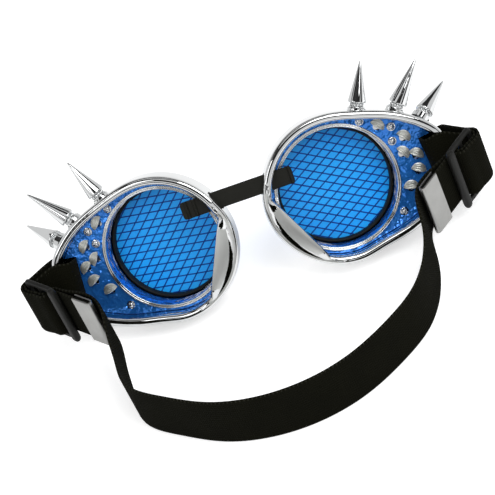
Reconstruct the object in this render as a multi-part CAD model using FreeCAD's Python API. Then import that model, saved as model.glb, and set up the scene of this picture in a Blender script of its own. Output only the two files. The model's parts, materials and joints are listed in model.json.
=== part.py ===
import FreeCAD, Part
import math
import os

from FreeCAD import Placement, Rotation, Vector

os.makedirs("parts", exist_ok=True)

# Sizes are in millimetres, angles in degrees and shares have no unit.
# A cup is drawn upright: X to the temple, Y to the wearer, Z up, lens axis along Y.

# Clearances
fit_gap = 0.1
run_gap = 0.3
overrun = 60.0

# Lens and the pieces that hold it, from the wearer's side to the front
bore_radius = 25.2
tube_wall = 1.3
tube_length = 7.6
trim_overlap = 0.3
trim_thickness = 0.8
gasket_wall = 1.3
gasket_length = 3.3
lens_thickness = 1.6
lens_inset = 0.2
neck_wall = 1.0
neck_length = 7.4
bezel_wall = 1.2
bezel_step = 0.3
bezel_lip = 1.0
bezel_skirt = 3.4
bezel_plain_band = 0.8
knurl_count = 48
knurl_radius = 0.8
knurl_depth = 0.35

# Cup shell
rim_land = 5.5
rim_radius = bore_radius + tube_wall + rim_land
rim_width = 3.8
rim_round = 1.7
rim_height = 6.0
panel_recess = 0.6
panel_thickness = 1.6
plate_thickness = 2.4
edge_round = 1.4
round_start = 78.0
round_end = 282.0
round_steps = 13
outline_steps = 48
round_bands = 4
tip_share = 1.55
temple_shares = (
    (0.630, -0.944), (1.080, -0.825), (1.375, -0.672), (1.519, -0.438), (tip_share, -0.156),
    (1.509, 0.109), (1.344, 0.359), (1.047, 0.612), (0.688, 0.800),
)

# Flat on the nose side of the rim
nose_distance = 22.5
nose_turn = 200.0
nose_edge = 5.2
nose_outer_edge = 1.5
nose_underside = 0.9

# Slot for the head strap
slot_from_tip = 10.0
slot_centre_x = tip_share * rim_radius - slot_from_tip
slot_centre_z = -5.6
slot_width = 3.0
slot_height = 26.2

# Rivets: shares of the rim radius across and up
rivet_head_radius = 1.5
rivet_head_height = 1.0
rivet_shank_radius = 0.8
rivet_length = 3.0
rivet_shares = ((0.615, 0.655), (0.959, 0.406), (0.894, 0.229), (0.648, -0.680))

# Hooded vents: place as shares of the rim radius, then the way the mouth faces
vent_radius = 2.8
vent_wall = 0.6
vent_hole_radius = 1.7
vent_mouth_share = 0.25
vent_places = (
    (0.795, 0.489, 215.0), (1.045, 0.205, 215.0), (0.945, 0.020, 205.0),
    (1.100, -0.082, 225.0), (1.047, -0.277, 235.0), (0.865, -0.440, 250.0),
)

# Spikes: foot as shares of the rim radius, level, turn up, tilt to the front, cone height
spike_collar_radius = 3.5
spike_collar_height = 1.2
spike_step_radius = 2.8
spike_step_height = 1.4
spike_cone_radius = 3.5
spike_cone_height = 17.0
spike_tall_cone_height = 19.6
spike_tip_radius = 0.35
spike_stud_radius = 1.5
spike_stud_length = 3.0
boss_radius = 4.0
boss_height = 0.8
spike_low = 0.2
spike_front = -1.2
spike_places = (
    (0.650, 0.816, spike_low, 60.0, 0.0, spike_cone_height),
    (1.094, 0.584, spike_low, 42.0, 0.0, spike_tall_cone_height),
    (1.363, 0.341, spike_front, 25.0, 28.0, spike_cone_height),
)

# How the cups stand on the table
nose_half_gap = 6.7
lens_half_spacing = rim_radius + nose_half_gap
cup_pitch = 30.4
cup_yaw = 11.1

# Bridge strip between the cups
bridge_height = 7.5
bridge_thickness = 1.6
bridge_left_reach = 25.4
bridge_right_reach = 23.5
bridge_entry_inset = 1.0
bridge_entry_x = bridge_entry_inset - rim_radius
bridge_entry_y = 0.7
bridge_entry_z = 16.0
bridge_slot_gap = 0.45
bridge_wall_depth = 14.0
rib_width = 1.1
rib_height = 0.8
rib_inset = 2.0
rib_spacing = 3.4
stop_width = 1.6

# Head strap
strap_width = 25.0
strap_thickness = 1.2
loop_bar_gap = 0.8
band_steps = 3
station_spacing = 4.0
fold_cut = 0.4
inner_fold_turns = (0.0, 45.0, 90.0, 135.0, 180.0)
outer_fold_turns = (0.0, 45.0, 90.0, 135.0)
outer_layer_share = 0.58
inner_layer_share = 0.40
drop_share = 0.26

# Strap slider: middle bar at (x, y, z) from the midpoint between the lens rings
slider_beyond_tip = 3.9
slider_x = lens_half_spacing + tip_share * rim_radius + slider_beyond_tip
slider_y = 6.6
slider_z = -6.5
slider_turn = 135.0
slider_bar = 1.8
bar_spacing = 7.0
slider_thickness = 1.8
slider_height = 32.2
slider_window = 27.6
slider_round = 1.5

# Crimp on the free end of the strap
crimp_length = 10.0
crimp_sheet = 0.6
crimp_height = 26.4
tail_length = 26.0
tail_bury = 8.6
join_turn = 12.0
join_shares = (0.5, 1.0, 1.0)
join_length = 3.3

# Head loop behind the cups: places across, back and of the sway to the left
loop_depth = 93.0
loop_floor_y = 52.0
loop_sway = 4.0
loop_shares = (
    (0.985, 0.375, 0.1), (0.960, 0.500, 0.4), (0.885, 0.670, 1.0),
    (0.690, 0.810, 1.0), (0.420, 0.935, 1.0), (0.147, 0.993, 1.0),
)


def cup_placement(side=1):
    """Give the standing position of the left cup, or of the right one for side -1."""
    pitch = Rotation(Vector(1, 0, 0), cup_pitch)
    yaw = Rotation(Vector(0, 0, 1), -side * cup_yaw)
    return Placement(Vector(side * lens_half_spacing, 0, 0), yaw.multiply(pitch))


def cup_point(x, y, z):
    """Turn a point of the upright left cup into the standing position."""
    return cup_placement().multVec(Vector(x, y, z))


def stand(shape, side):
    """Move a shape of the upright left cup into the standing position of either cup."""
    moved = shape.copy() if side > 0 else mirrored(shape)
    moved.Placement = cup_placement(side).multiply(moved.Placement)
    return moved


def mirrored(shape):
    """Give the same shape for the other side of the nose."""
    return shape.mirror(Vector(0, 0, 0), Vector(1, 0, 0))


def axial_ring(outer, inner, front, back):
    """Make a ring around the lens axis from the front level to the back level."""
    base = Vector(0, front, 0)
    along = Vector(0, 1, 0)
    body = Part.makeCylinder(outer, back - front, base, along)
    hole = Part.makeCylinder(inner, back - front + 2 * overrun, base - along * overrun, along)
    return body.cut(hole)


def closed_curve(points):
    """Draw one smooth closed curve through the points."""
    curve = Part.BSplineCurve()
    curve.interpolate(points, PeriodicFlag=True)
    return curve


def inset_points(curve, inset):
    """List points of a closed curve in the lens plane, moved inwards by the inset."""
    span = curve.LastParameter - curve.FirstParameter
    points = []
    for index in range(outline_steps):
        mark = curve.FirstParameter + span * index / outline_steps
        way = curve.tangent(mark)[0]
        points.append(curve.value(mark) + Vector(-way.z, 0, way.x) * inset)
    return points


def outline_wire(inset, level):
    """Draw the cup outline at a level, moved inwards by the inset."""
    points = []
    step = (round_end - round_start) / (round_steps - 1)
    for index in range(round_steps):
        turn = math.radians(round_start + step * index)
        points.append(Vector(rim_radius * math.cos(turn), 0, rim_radius * math.sin(turn)))
    for across, up in temple_shares:
        points.append(Vector(across * rim_radius, 0, up * rim_radius))
    curve = closed_curve(inset_points(closed_curve(points), inset))
    wire = Part.Wire(curve.toShape())
    wire.translate(Vector(0, level, 0))
    return wire


def outline_block(inset, front, back):
    """Raise the cup outline from the front level to the back level."""
    return Part.Face(outline_wire(inset, front)).extrude(Vector(0, back - front, 0))


def outline_form(levels):
    """Loft the cup outline through pairs of inset and level."""
    return Part.makeLoft([outline_wire(inset, level) for inset, level in levels], True, True)


def quarter_turns():
    """List the angles of a quarter round, cut into bands."""
    return [math.pi / 2 * index / round_bands for index in range(round_bands + 1)]


def panel_back():
    """Give the level of the painted panel's visible face."""
    return -panel_recess


def panel_front():
    """Give the level where the panel lies on the shell plate."""
    return panel_back() - panel_thickness


def plate_front():
    """Give the level of the shell plate's front face."""
    return panel_front() - plate_thickness


def neck_bore():
    """Give the radius of the hole that takes the lens tube and the bezel's skirt."""
    return bore_radius + tube_wall + fit_gap


def neck_radius():
    """Give the outside radius of the neck."""
    return neck_bore() + neck_wall


def bezel_radius():
    """Give the outside radius of the bezel's flange."""
    return neck_radius() + bezel_step


def neck_front():
    """Give the level of the neck's front end."""
    return plate_front() - neck_length


def skirt_radius():
    """Give the outside radius of the bezel's skirt, which turns in the neck."""
    return neck_bore() - run_gap


def skirt_bore():
    """Give the inside radius of the bezel's skirt."""
    return skirt_radius() - bezel_wall


def lens_radius():
    """Give the radius of the lens, which lies in the bezel's skirt."""
    return skirt_bore() - run_gap


def lens_back():
    """Give the level of the lens face nearest the wearer."""
    return neck_front() + lens_inset


def lens_front():
    """Give the level of the outer lens face."""
    return lens_back() - lens_thickness


def bezel_front():
    """Give the level of the bezel's front face."""
    return lens_front() - run_gap - bezel_lip


def nose_normal():
    """Give the direction that the nose flat faces."""
    fall = nose_edge - nose_outer_edge
    run = rim_radius - nose_distance
    turn = math.radians(nose_turn)
    flat = Vector(math.cos(turn) * fall, run, math.sin(turn) * fall)
    return flat.normalize()


def nose_cutter():
    """Make the block that trims the rim to the nose flat."""
    turn = math.radians(nose_turn)
    spot = Vector(math.cos(turn) * nose_distance, nose_edge, math.sin(turn) * nose_distance)
    block = Part.makeBox(2 * overrun, 2 * overrun, overrun, Vector(-overrun, -overrun, 0))
    block.Placement = Placement(spot, Rotation(Vector(0, 0, 1), nose_normal()))
    return block


def nose_wall():
    """Make the wall behind the nose flat, between the chord and the rim."""
    block = outline_block(0, nose_underside, rim_height)
    turn = math.radians(nose_turn)
    side = Part.makeBox(overrun, 2 * overrun, 2 * overrun, Vector(0, -overrun, -overrun))
    spot = Vector(math.cos(turn) * nose_distance, 0, math.sin(turn) * nose_distance)
    side.Placement = Placement(spot, Rotation(Vector(0, 1, 0), -nose_turn))
    return block.common(side)


def spike_frames():
    """List the foot and the direction of each spike on the upright left cup."""
    frames = []
    for across, up, level, turn, tilt, _ in spike_places:
        flat = math.cos(math.radians(tilt))
        way = Vector(
            math.cos(math.radians(turn)) * flat,
            -math.sin(math.radians(tilt)),
            math.sin(math.radians(turn)) * flat,
        )
        frames.append((Vector(across * rim_radius, level, up * rim_radius), way))
    return frames


def rivet_feet():
    """List the middle of each rivet on the panel face."""
    return [Vector(across * rim_radius, panel_back(), up * rim_radius) for across, up in rivet_shares]


def bridge_slot():
    """Make the tunnel for the bridge strip, which runs square to the nose."""
    entry = cup_point(bridge_entry_x, bridge_entry_y, bridge_entry_z)
    tall = bridge_height + 2 * bridge_slot_gap
    deep = bridge_thickness + 2 * bridge_slot_gap
    box = Part.makeBox(
        2 * bridge_wall_depth, deep, tall, Vector(-bridge_wall_depth, -deep / 2, -tall / 2)
    )
    level = Placement(entry, Rotation(Vector(1, 0, 0), cup_pitch))
    box.Placement = cup_placement().inverse().multiply(level)
    return box


def outer_levels():
    """List inset and level up the outside of the shell, with its rounded edges."""
    levels = []
    for turn in quarter_turns():
        rise = edge_round * (1 - math.cos(turn))
        levels.append((edge_round * (1 - math.sin(turn)), plate_front() + rise))
    for turn in quarter_turns():
        drop = rim_round * (1 - math.sin(turn))
        levels.append((rim_round * (1 - math.cos(turn)), rim_height - drop))
    return levels


def hollow_levels():
    """List inset and level up the inside of the rim, past its rounded edge."""
    levels = [(rim_width, panel_front())]
    for turn in quarter_turns():
        drop = rim_round * (1 - math.sin(turn))
        levels.append((rim_width - rim_round * (1 - math.cos(turn)), rim_height - drop))
    levels.append((rim_width - rim_round, rim_height + overrun))
    return levels


def cup_shell():
    """Make the plated shell: plate, rim, nose flat, spike bosses and holes."""
    shell = outline_form(outer_levels()).cut(outline_form(hollow_levels()))
    shell = shell.fuse(nose_wall())
    shell = shell.cut(nose_cutter())
    for foot, way in spike_frames():
        root = foot - way * (rim_width / 2)
        shell = shell.fuse(Part.makeCylinder(boss_radius, rim_width / 2 + boss_height, root, way))
    bore_height = plate_thickness + fit_gap + overrun
    bore = Part.makeCylinder(
        neck_bore(), bore_height, Vector(0, plate_front() - overrun, 0), Vector(0, 1, 0)
    )
    shell = shell.cut(bore)
    for foot, way in spike_frames():
        start = foot + way * (boss_height - spike_stud_length - fit_gap)
        hole = Part.makeCylinder(spike_stud_radius + fit_gap, overrun, start, way)
        seat = Part.makeCylinder(spike_collar_radius + fit_gap, overrun, foot + way * boss_height, way)
        shell = shell.cut(hole).cut(seat)
    for foot in rivet_feet():
        depth = rivet_length + fit_gap
        hole = Part.makeCylinder(
            rivet_shank_radius + fit_gap, depth, foot - Vector(0, depth, 0), Vector(0, 1, 0)
        )
        shell = shell.cut(hole)
    shell = shell.cut(strap_slot())
    for hole in vent_holes():
        shell = shell.cut(hole)
    return shell.cut(bridge_slot()).removeSplitter()


def strap_slot():
    """Make the block that opens the strap slot in the plate."""
    return Part.makeBox(
        slot_width,
        panel_back() - plate_front() + 2 * fit_gap,
        slot_height,
        Vector(slot_centre_x - slot_width / 2, plate_front() - fit_gap, slot_centre_z - slot_height / 2),
    )


def vent_holes():
    """List the air holes under the vent hoods."""
    holes = []
    for across, up, _ in vent_places:
        base = Vector(across * rim_radius, plate_front() - overrun, up * rim_radius)
        reach = panel_back() - plate_front() + overrun + fit_gap
        holes.append(Part.makeCylinder(vent_hole_radius, reach, base, Vector(0, 1, 0)))
    return holes


def cup_panel():
    """Make the painted panel around the lens tube."""
    panel = outline_block(rim_width + fit_gap, panel_front(), panel_back())
    tube = Part.makeCylinder(
        bore_radius + tube_wall + fit_gap, 2 * overrun, Vector(0, -overrun, 0), Vector(0, 1, 0)
    )
    panel = panel.cut(tube)
    for foot in rivet_feet():
        hole = Part.makeCylinder(
            rivet_shank_radius + fit_gap, 2 * overrun, foot - Vector(0, overrun, 0), Vector(0, 1, 0)
        )
        panel = panel.cut(hole)
    inner_edge = slot_centre_x - slot_width / 2
    beyond = Part.makeBox(overrun, 2 * overrun, 2 * overrun, Vector(inner_edge, -overrun, -overrun))
    panel = panel.cut(beyond)
    for hole in vent_holes():
        panel = panel.cut(hole)
    return panel


def lens_neck():
    """Make the neck on the front of the plate, which the bezel turns in."""
    return axial_ring(neck_radius(), neck_bore(), neck_front(), plate_front())


def lens_tube():
    """Make the tube between the panel and the gasket."""
    back = panel_back()
    return axial_ring(bore_radius + tube_wall, bore_radius, back - tube_length, back)


def trim_ring():
    """Make the bright ring that covers the joint of tube and panel."""
    outer = bore_radius + tube_wall + trim_overlap
    back = panel_back() + trim_thickness
    return axial_ring(outer, bore_radius, panel_back(), back)


def lens_gasket():
    """Make the black sleeve that stands on the lens."""
    back = lens_back() + gasket_length
    return axial_ring(lens_radius(), lens_radius() - gasket_wall, lens_back(), back)


def lens():
    """Make the flat round lens."""
    return Part.makeCylinder(lens_radius(), lens_thickness, Vector(0, lens_front(), 0), Vector(0, 1, 0))


def bezel():
    """Make the turning front ring: lip, knurled flange and skirt."""
    outer = bezel_radius()
    lip_back = lens_front() - run_gap
    flange_back = neck_front() - run_gap
    ring = axial_ring(outer, lens_radius() - gasket_wall, bezel_front(), lip_back)
    ring = ring.fuse(axial_ring(outer, skirt_bore(), lip_back, flange_back))
    ring = ring.fuse(axial_ring(skirt_radius(), skirt_bore(), flange_back, flange_back + bezel_skirt))
    groove_start = bezel_front() + bezel_plain_band
    centre = outer + knurl_radius - knurl_depth
    for index in range(knurl_count):
        turn = 2 * math.pi * index / knurl_count
        base = Vector(centre * math.cos(turn), groove_start, centre * math.sin(turn))
        ring = ring.cut(Part.makeCylinder(knurl_radius, overrun, base, Vector(0, 1, 0)))
    return ring.removeSplitter()


def rivets():
    """Make the round-headed rivets that hold the panel."""
    solids = []
    height = rivet_head_height
    ball = (rivet_head_radius ** 2 + height ** 2) / (2 * height)
    for foot in rivet_feet():
        shank = Part.makeCylinder(
            rivet_shank_radius, rivet_length, foot - Vector(0, rivet_length, 0), Vector(0, 1, 0)
        )
        dome = Part.makeSphere(ball, foot + Vector(0, height - ball, 0))
        keep = Part.makeCylinder(2 * ball, 2 * ball, foot, Vector(0, 1, 0))
        solids.append(shank.fuse(dome.common(keep)).removeSplitter())
    return Part.makeCompound(solids)


def vents():
    """Make the plated hoods over the air holes."""
    solids = []
    for across, up, mouth in vent_places:
        foot = Vector(across * rim_radius, panel_back(), up * rim_radius)
        hood = Part.makeSphere(vent_radius, foot).cut(Part.makeSphere(vent_radius - vent_wall, foot))
        keep = Part.makeCylinder(2 * vent_radius, 2 * vent_radius, foot, Vector(0, 1, 0))
        hood = hood.common(keep)
        turn = math.radians(mouth)
        way = Vector(math.cos(turn), 0, math.sin(turn))
        block = Part.makeBox(overrun, 2 * overrun, 2 * overrun, Vector(0, -overrun, -overrun))
        block.Placement = Placement(
            foot + way * (vent_radius * vent_mouth_share), Rotation(Vector(1, 0, 0), way)
        )
        solids.append(hood.cut(block))
    return Part.makeCompound(solids)


def spike(index):
    """Make one spike: stud, collar, step and cone."""
    foot, way = spike_frames()[index]
    seat = foot + way * boss_height
    solid = Part.makeCylinder(spike_stud_radius, spike_stud_length, seat - way * spike_stud_length, way)
    solid = solid.fuse(Part.makeCylinder(spike_collar_radius, spike_collar_height, seat, way))
    step = seat + way * spike_collar_height
    solid = solid.fuse(Part.makeCylinder(spike_step_radius, spike_step_height, step, way))
    root = step + way * spike_step_height
    height = spike_places[index][-1]
    cone = Part.makeCone(spike_cone_radius, spike_tip_radius, height, root, way)
    return solid.fuse(cone).removeSplitter()


def bridge_strip():
    """Make the bridge strip with two ribs on its left end and a stop on its right end."""
    entry = cup_point(bridge_entry_x, bridge_entry_y, bridge_entry_z)
    length = bridge_left_reach + bridge_right_reach
    low = Vector(-bridge_right_reach, -bridge_thickness / 2, -bridge_height / 2)
    strip = Part.makeBox(length, bridge_thickness, bridge_height, low)
    for index in range(2):
        start = bridge_left_reach - rib_inset - rib_width - index * rib_spacing
        corner = Vector(start, 0, -bridge_height / 2)
        strip = strip.fuse(Part.makeBox(rib_width, bridge_thickness / 2 + rib_height, bridge_height, corner))
    corner = Vector(-bridge_right_reach, 0, -bridge_height / 2)
    strip = strip.fuse(Part.makeBox(stop_width, bridge_thickness / 2 + rib_height, bridge_height, corner))
    place = Vector(0, entry.y, entry.z)
    strip.Placement = Placement(place, Rotation(Vector(1, 0, 0), cup_pitch))
    return strip.removeSplitter()


def ribbon(stations):
    """Loft a flat band through stations of (centre, thickness way, width way)."""
    wires = []
    for centre, thick, wide in stations:
        reach = wide * (strap_width / 2)
        half = thick * (strap_thickness / 2)
        corners = [centre - reach - half, centre + reach - half, centre + reach + half, centre - reach + half]
        wires.append(Part.makePolygon(corners + corners[:1]))
    return Part.makeLoft(wires, True, True)


def stations_of(points, wides):
    """Give each point of a band its thickness way, square to its path and width way."""
    result = []
    for index, point in enumerate(points):
        ahead = points[min(index + 1, len(points) - 1)]
        behind = points[max(index - 1, 0)]
        wide = wides[index].normalize()
        result.append((point, (ahead - behind).cross(wide).normalize(), wide))
    return result


def slider_axes():
    """Give the middle bar of the left slider, the strap way and the side away from the cup."""
    turn = math.radians(slider_turn)
    along = Vector(math.cos(turn), math.sin(turn), 0)
    across = Vector(math.sin(turn), -math.cos(turn), 0)
    return Vector(slider_x, slider_y, slider_z), along, across


def slider_point(along_by, across_by):
    """Give a point in the level plane through the middle of the left slider."""
    middle, along, across = slider_axes()
    return middle + along * along_by + across * across_by


def smoothed(points, wides):
    """Smooth a row of points and width ways along one curve into more of each."""
    marks = [0]
    for index in range(len(points) - 1):
        marks.append(marks[-1] + points[index].distanceToPoint(points[index + 1]))
    curve = Part.BSplineCurve()
    curve.interpolate(points, Parameters=marks)
    smooth_points = []
    smooth_wides = []
    for index in range(len(points) - 1):
        span = marks[index + 1] - marks[index]
        steps = max(band_steps, int(span / station_spacing))
        for step in range(steps):
            share = step / steps
            smooth_points.append(curve.value(marks[index] + span * share))
            smooth_wides.append(wides[index] * (1 - share) + wides[index + 1] * share)
    return smooth_points + points[-1:], smooth_wides + wides[-1:]


def slider():
    """Make the three-bar strap slider."""
    middle, along, across = slider_axes()
    length = 2 * bar_spacing + slider_bar
    frame = Part.makeBox(
        length, slider_thickness, slider_height, Vector(-length / 2, -slider_thickness / 2, -slider_height / 2)
    )
    corners = [edge for edge in frame.Edges if abs(edge.Vertexes[0].Y - edge.Vertexes[1].Y) > fit_gap]
    frame = frame.makeFillet(slider_round, corners)
    opening = bar_spacing - slider_bar
    for side in (-1, 1):
        low = Vector(side * bar_spacing / 2 - opening / 2, -overrun, -slider_window / 2)
        frame = frame.cut(Part.makeBox(opening, 2 * overrun, slider_window, low))
    frame.Placement = Placement(middle, Rotation(Vector(0, 0, 1), slider_turn))
    return frame


def layer_rise(outer):
    """Give how far the outer or the inner strap layer lies off the slider's middle plane."""
    rise = slider_thickness / 2 + run_gap + strap_thickness / 2
    return rise + strap_thickness + run_gap if outer else rise


def fold(outer):
    """List the path of a strap layer from the middle bar round the front bar."""
    radius = layer_rise(outer) + run_gap + fit_gap
    path = [slider_point(-slider_bar - fold_cut, layer_rise(outer))]
    for turn in outer_fold_turns if outer else inner_fold_turns:
        angle = math.radians(turn)
        path.append(slider_point(-bar_spacing - radius * math.sin(angle), radius * math.cos(angle)))
    return path


def strap_loop():
    """Make the strap from the slider's front bar through the cup slot and back."""
    half = strap_thickness / 2
    over = rim_height + run_gap + fit_gap + half
    under = plate_front() - loop_bar_gap - half
    tip = tip_share * rim_radius + loop_bar_gap + half
    inside = tip - rim_width - 2 * loop_bar_gap
    height = slot_centre_z
    cup_run = [
        Vector(tip - rim_width / 2, over, height - 2 * loop_bar_gap),
        Vector(inside, over, height),
        Vector(slot_centre_x + 2 * loop_bar_gap, rim_height, height),
        Vector(slot_centre_x + run_gap, rim_height / 2, height),
        Vector(slot_centre_x, panel_front(), height),
        Vector(slot_centre_x + fit_gap, plate_front(), height),
        Vector(slot_centre_x + 2 * loop_bar_gap, under - run_gap, height),
        Vector(inside, under - loop_bar_gap, height),
        Vector(tip - loop_bar_gap, under + loop_bar_gap, height),
        Vector(tip + loop_bar_gap, 0, height - loop_bar_gap),
    ]
    up_way = cup_placement().Rotation.multVec(Vector(0, 0, 1))
    level = Vector(0, 0, 1)
    inner = fold(False)
    outer = list(reversed(fold(True)))
    points = inner + [cup_point(p.x, p.y, p.z) for p in cup_run] + outer
    wides = [level for _ in inner] + [up_way for _ in cup_run] + [level for _ in outer]
    return ribbon(stations_of(*smoothed(points, wides)))


def weave(outer):
    """List the path of the outer or the inner strap layer through the slider."""
    gap = bar_spacing - slider_bar
    share = outer_layer_share if outer else inner_layer_share
    over = layer_rise(outer)
    under = -layer_rise(not outer)
    middle = slider_bar / 2 + gap * share
    spread = gap * drop_share
    return [
        slider_point(-slider_bar, over),
        slider_point(0, over),
        slider_point(middle - spread, over - run_gap),
        slider_point(middle, (over + under) / 2),
        slider_point(middle + spread, under + run_gap),
        slider_point(bar_spacing, under),
    ]


def tail_path():
    """List the path of the free tail, from the slider to its end in the crimp."""
    path = weave(True)
    end = slider_point(tail_length, 0) - slider_point(bar_spacing, 0)
    return path + [path[-1] + end / 2, path[-1] + end]


def strap_tail():
    """Make the free tail from the slider into the crimp."""
    path = tail_path()
    upright = [Vector(0, 0, 1) for _ in path]
    return ribbon(stations_of(*smoothed(path, upright)))


def crimp_thickness():
    """Give the thickness of the crimp over the strap."""
    return strap_thickness + 2 * run_gap + 2 * crimp_sheet


def crimp():
    """Make the folded metal crimp on the end of the tail."""
    inside = strap_thickness + 2 * run_gap
    thick = crimp_thickness()
    block = Part.makeBox(
        crimp_length, thick, crimp_height, Vector(-tail_bury, -thick / 2, -crimp_height / 2)
    )
    slot = Part.makeBox(
        tail_bury + fit_gap + overrun,
        inside,
        2 * overrun,
        Vector(-tail_bury - overrun, -inside / 2, -overrun),
    )
    block = block.cut(slot)
    block.Placement = Placement(tail_path()[-1], Rotation(Vector(0, 0, 1), slider_turn))
    return block


def floor_level():
    """Give the level of the table, at the lowest edge of the bezel."""
    return cup_point(0, bezel_front(), -bezel_radius()).z


def headband():
    """Make the head loop from one slider round the back to the other."""
    path = weave(False)
    for share in join_shares:
        turn = math.radians(slider_turn + join_turn * share)
        path.append(path[-1] + Vector(math.cos(turn), math.sin(turn), 0) * join_length)
    leave = path[-1]
    clear = layer_rise(False) + crimp_thickness() / 2 + loop_bar_gap + strap_thickness / 2
    beside = slider_point(tail_length + crimp_length - tail_bury, -clear)
    path.append(beside)
    sways = [0 for _ in path]
    for across, back, sway in loop_shares:
        path.append(Vector(across * beside.x, back * loop_depth, leave.z))
        sways.append(sway)
    path += [Vector(-p.x, p.y, p.z) for p in reversed(path)]
    sways += list(reversed(sways))
    path = [p + Vector(loop_sway * sway, 0, 0) for p, sway in zip(path, sways)]
    upright = [Vector(0, 0, 1) for _ in path]
    drop = leave.z - floor_level() - strap_width / 2
    level_points, wides = smoothed(path, upright)
    points = []
    for spot in level_points:
        share = min(max((spot.y - leave.y) / (loop_floor_y - leave.y), 0), 1)
        ease = (1 - math.cos(math.pi * share)) / 2
        points.append(spot - Vector(0, 0, drop * ease))
    return ribbon(stations_of(points, wides))


def cup_shapes():
    """Collect the pieces of the upright left cup by name."""
    return {
        "cup_shell": cup_shell(),
        "cup_panel": cup_panel(),
        "lens_neck": lens_neck(),
        "lens_tube": lens_tube(),
        "trim_ring": trim_ring(),
        "lens_gasket": lens_gasket(),
        "lens": lens(),
        "bezel": bezel(),
        "rivets": rivets(),
        "vents": vents(),
        "spike_upper": spike(0),
        "spike_middle": spike(1),
        "spike_front": spike(2),
    }


def strap_shapes():
    """Collect the strap pieces of the left side by name."""
    return {
        "strap_loop": strap_loop(),
        "strap_tail": strap_tail(),
        "strap_crimp": crimp(),
        "strap_slider": slider(),
    }


def main():
    """Build every piece, set the part on its origin and write the files."""
    pieces = {"bridge_strip": bridge_strip(), "headband": headband()}
    for name, shape in cup_shapes().items():
        pieces["left_" + name] = stand(shape, 1)
        pieces["right_" + name] = stand(shape, -1)
    for name, shape in strap_shapes().items():
        pieces["left_" + name] = shape
        pieces["right_" + name] = mirrored(shape)
    box = FreeCAD.BoundBox()
    for shape in pieces.values():
        box.add(shape.optimalBoundingBox())
    shift = Vector(-box.Center.x, -box.Center.y, -box.ZMin)
    for name, shape in pieces.items():
        shape.translate(shift)
        shape.exportStep("parts/" + name + ".step")
        print(name, shape.isValid(), len(shape.Solids), round(shape.Volume, 1))
    print("shift", shift, "box", box.XLength, box.YLength, box.ZLength)


main()
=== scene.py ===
import json
import logging
import math
from dataclasses import dataclass, field
from enum import Enum
from typing import Callable, Optional, Sequence, Union

import bmesh
import bpy
import numpy as np
from bpy.types import Material, Node, NodeSocket, NodeTree, Object
from mathutils import Matrix, Vector

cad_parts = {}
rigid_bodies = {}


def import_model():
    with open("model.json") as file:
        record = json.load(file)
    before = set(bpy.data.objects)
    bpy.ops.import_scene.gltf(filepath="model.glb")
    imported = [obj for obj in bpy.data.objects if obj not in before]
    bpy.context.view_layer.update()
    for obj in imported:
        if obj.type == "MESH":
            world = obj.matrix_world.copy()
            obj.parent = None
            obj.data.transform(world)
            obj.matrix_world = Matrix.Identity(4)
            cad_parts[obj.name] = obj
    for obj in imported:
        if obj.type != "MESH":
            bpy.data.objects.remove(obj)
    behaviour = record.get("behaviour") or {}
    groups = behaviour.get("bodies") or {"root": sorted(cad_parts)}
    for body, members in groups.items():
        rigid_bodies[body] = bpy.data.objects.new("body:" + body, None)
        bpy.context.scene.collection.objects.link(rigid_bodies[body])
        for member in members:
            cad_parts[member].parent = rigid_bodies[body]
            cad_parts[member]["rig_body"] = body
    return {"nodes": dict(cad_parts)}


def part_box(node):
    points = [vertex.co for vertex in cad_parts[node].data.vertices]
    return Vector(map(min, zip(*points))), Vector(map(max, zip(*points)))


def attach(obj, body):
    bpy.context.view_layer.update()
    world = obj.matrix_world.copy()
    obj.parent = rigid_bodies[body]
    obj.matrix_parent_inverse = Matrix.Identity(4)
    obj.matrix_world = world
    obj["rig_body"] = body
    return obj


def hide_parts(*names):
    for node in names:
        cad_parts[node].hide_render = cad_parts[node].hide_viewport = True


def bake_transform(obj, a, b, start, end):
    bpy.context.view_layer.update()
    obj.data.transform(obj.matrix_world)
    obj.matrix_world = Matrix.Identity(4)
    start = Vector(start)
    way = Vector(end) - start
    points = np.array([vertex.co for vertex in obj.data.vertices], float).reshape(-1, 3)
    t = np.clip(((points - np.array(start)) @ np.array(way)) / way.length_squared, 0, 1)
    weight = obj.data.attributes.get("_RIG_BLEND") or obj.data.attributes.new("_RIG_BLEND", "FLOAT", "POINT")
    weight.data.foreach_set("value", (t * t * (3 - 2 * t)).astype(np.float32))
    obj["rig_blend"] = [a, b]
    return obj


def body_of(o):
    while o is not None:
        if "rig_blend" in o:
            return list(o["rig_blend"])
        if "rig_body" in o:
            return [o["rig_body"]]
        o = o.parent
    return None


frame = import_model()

# Goggles with two plated cups, seen from the wearer's side.
# Lengths are in millimetres until a mesh is made, and angles in degrees.
# A cup is drawn upright: X to the temple, Y to the wearer, Z up, lens axis along Y.

LOG = logging.getLogger("goggles")
MILLIMETRE = 0.001
STRAP_MAP = "strap_way"
# Angles above which an edge stays sharp: on plain pieces, on small turned ones and on the strap.
PLAIN_SHARP, TURNED_SHARP, STRAP_SHARP = 40.0, 50.0, 60.0
# Where a Mix node has its two colours among its inputs, and the mixed one among its outputs.
MIX_COLOURS, MIX_RESULT = (6, 7), 2
CLOUD_DETAIL, GRAIN_DETAIL = 3.0, 2.0
WHITE = (1.0, 1.0, 1.0, 1.0)
RING_STEPS = 128
QUARTERS = (0.25, 0.5, 0.75)
TO_WEARER = Vector((0.0, 1.0, 0.0))
UPWARDS = Vector((0.0, 0.0, 1.0))

Point = tuple[float, float]
Spot = tuple[float, float, float]
# The middle and the radius of a rounding.
Bead = tuple[Point, float]
Ring = list[Vector]
Settings = dict[Union[str, int], object]
Value = Union[NodeSocket, float, str]


class Side(Enum):
    """The wearer's left or right."""

    LEFT = 1
    RIGHT = -1

    def name_of(self, piece: str) -> str:
        """Give the name of a piece on this side."""
        return f"{self.name.lower()}_{piece}"


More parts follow.
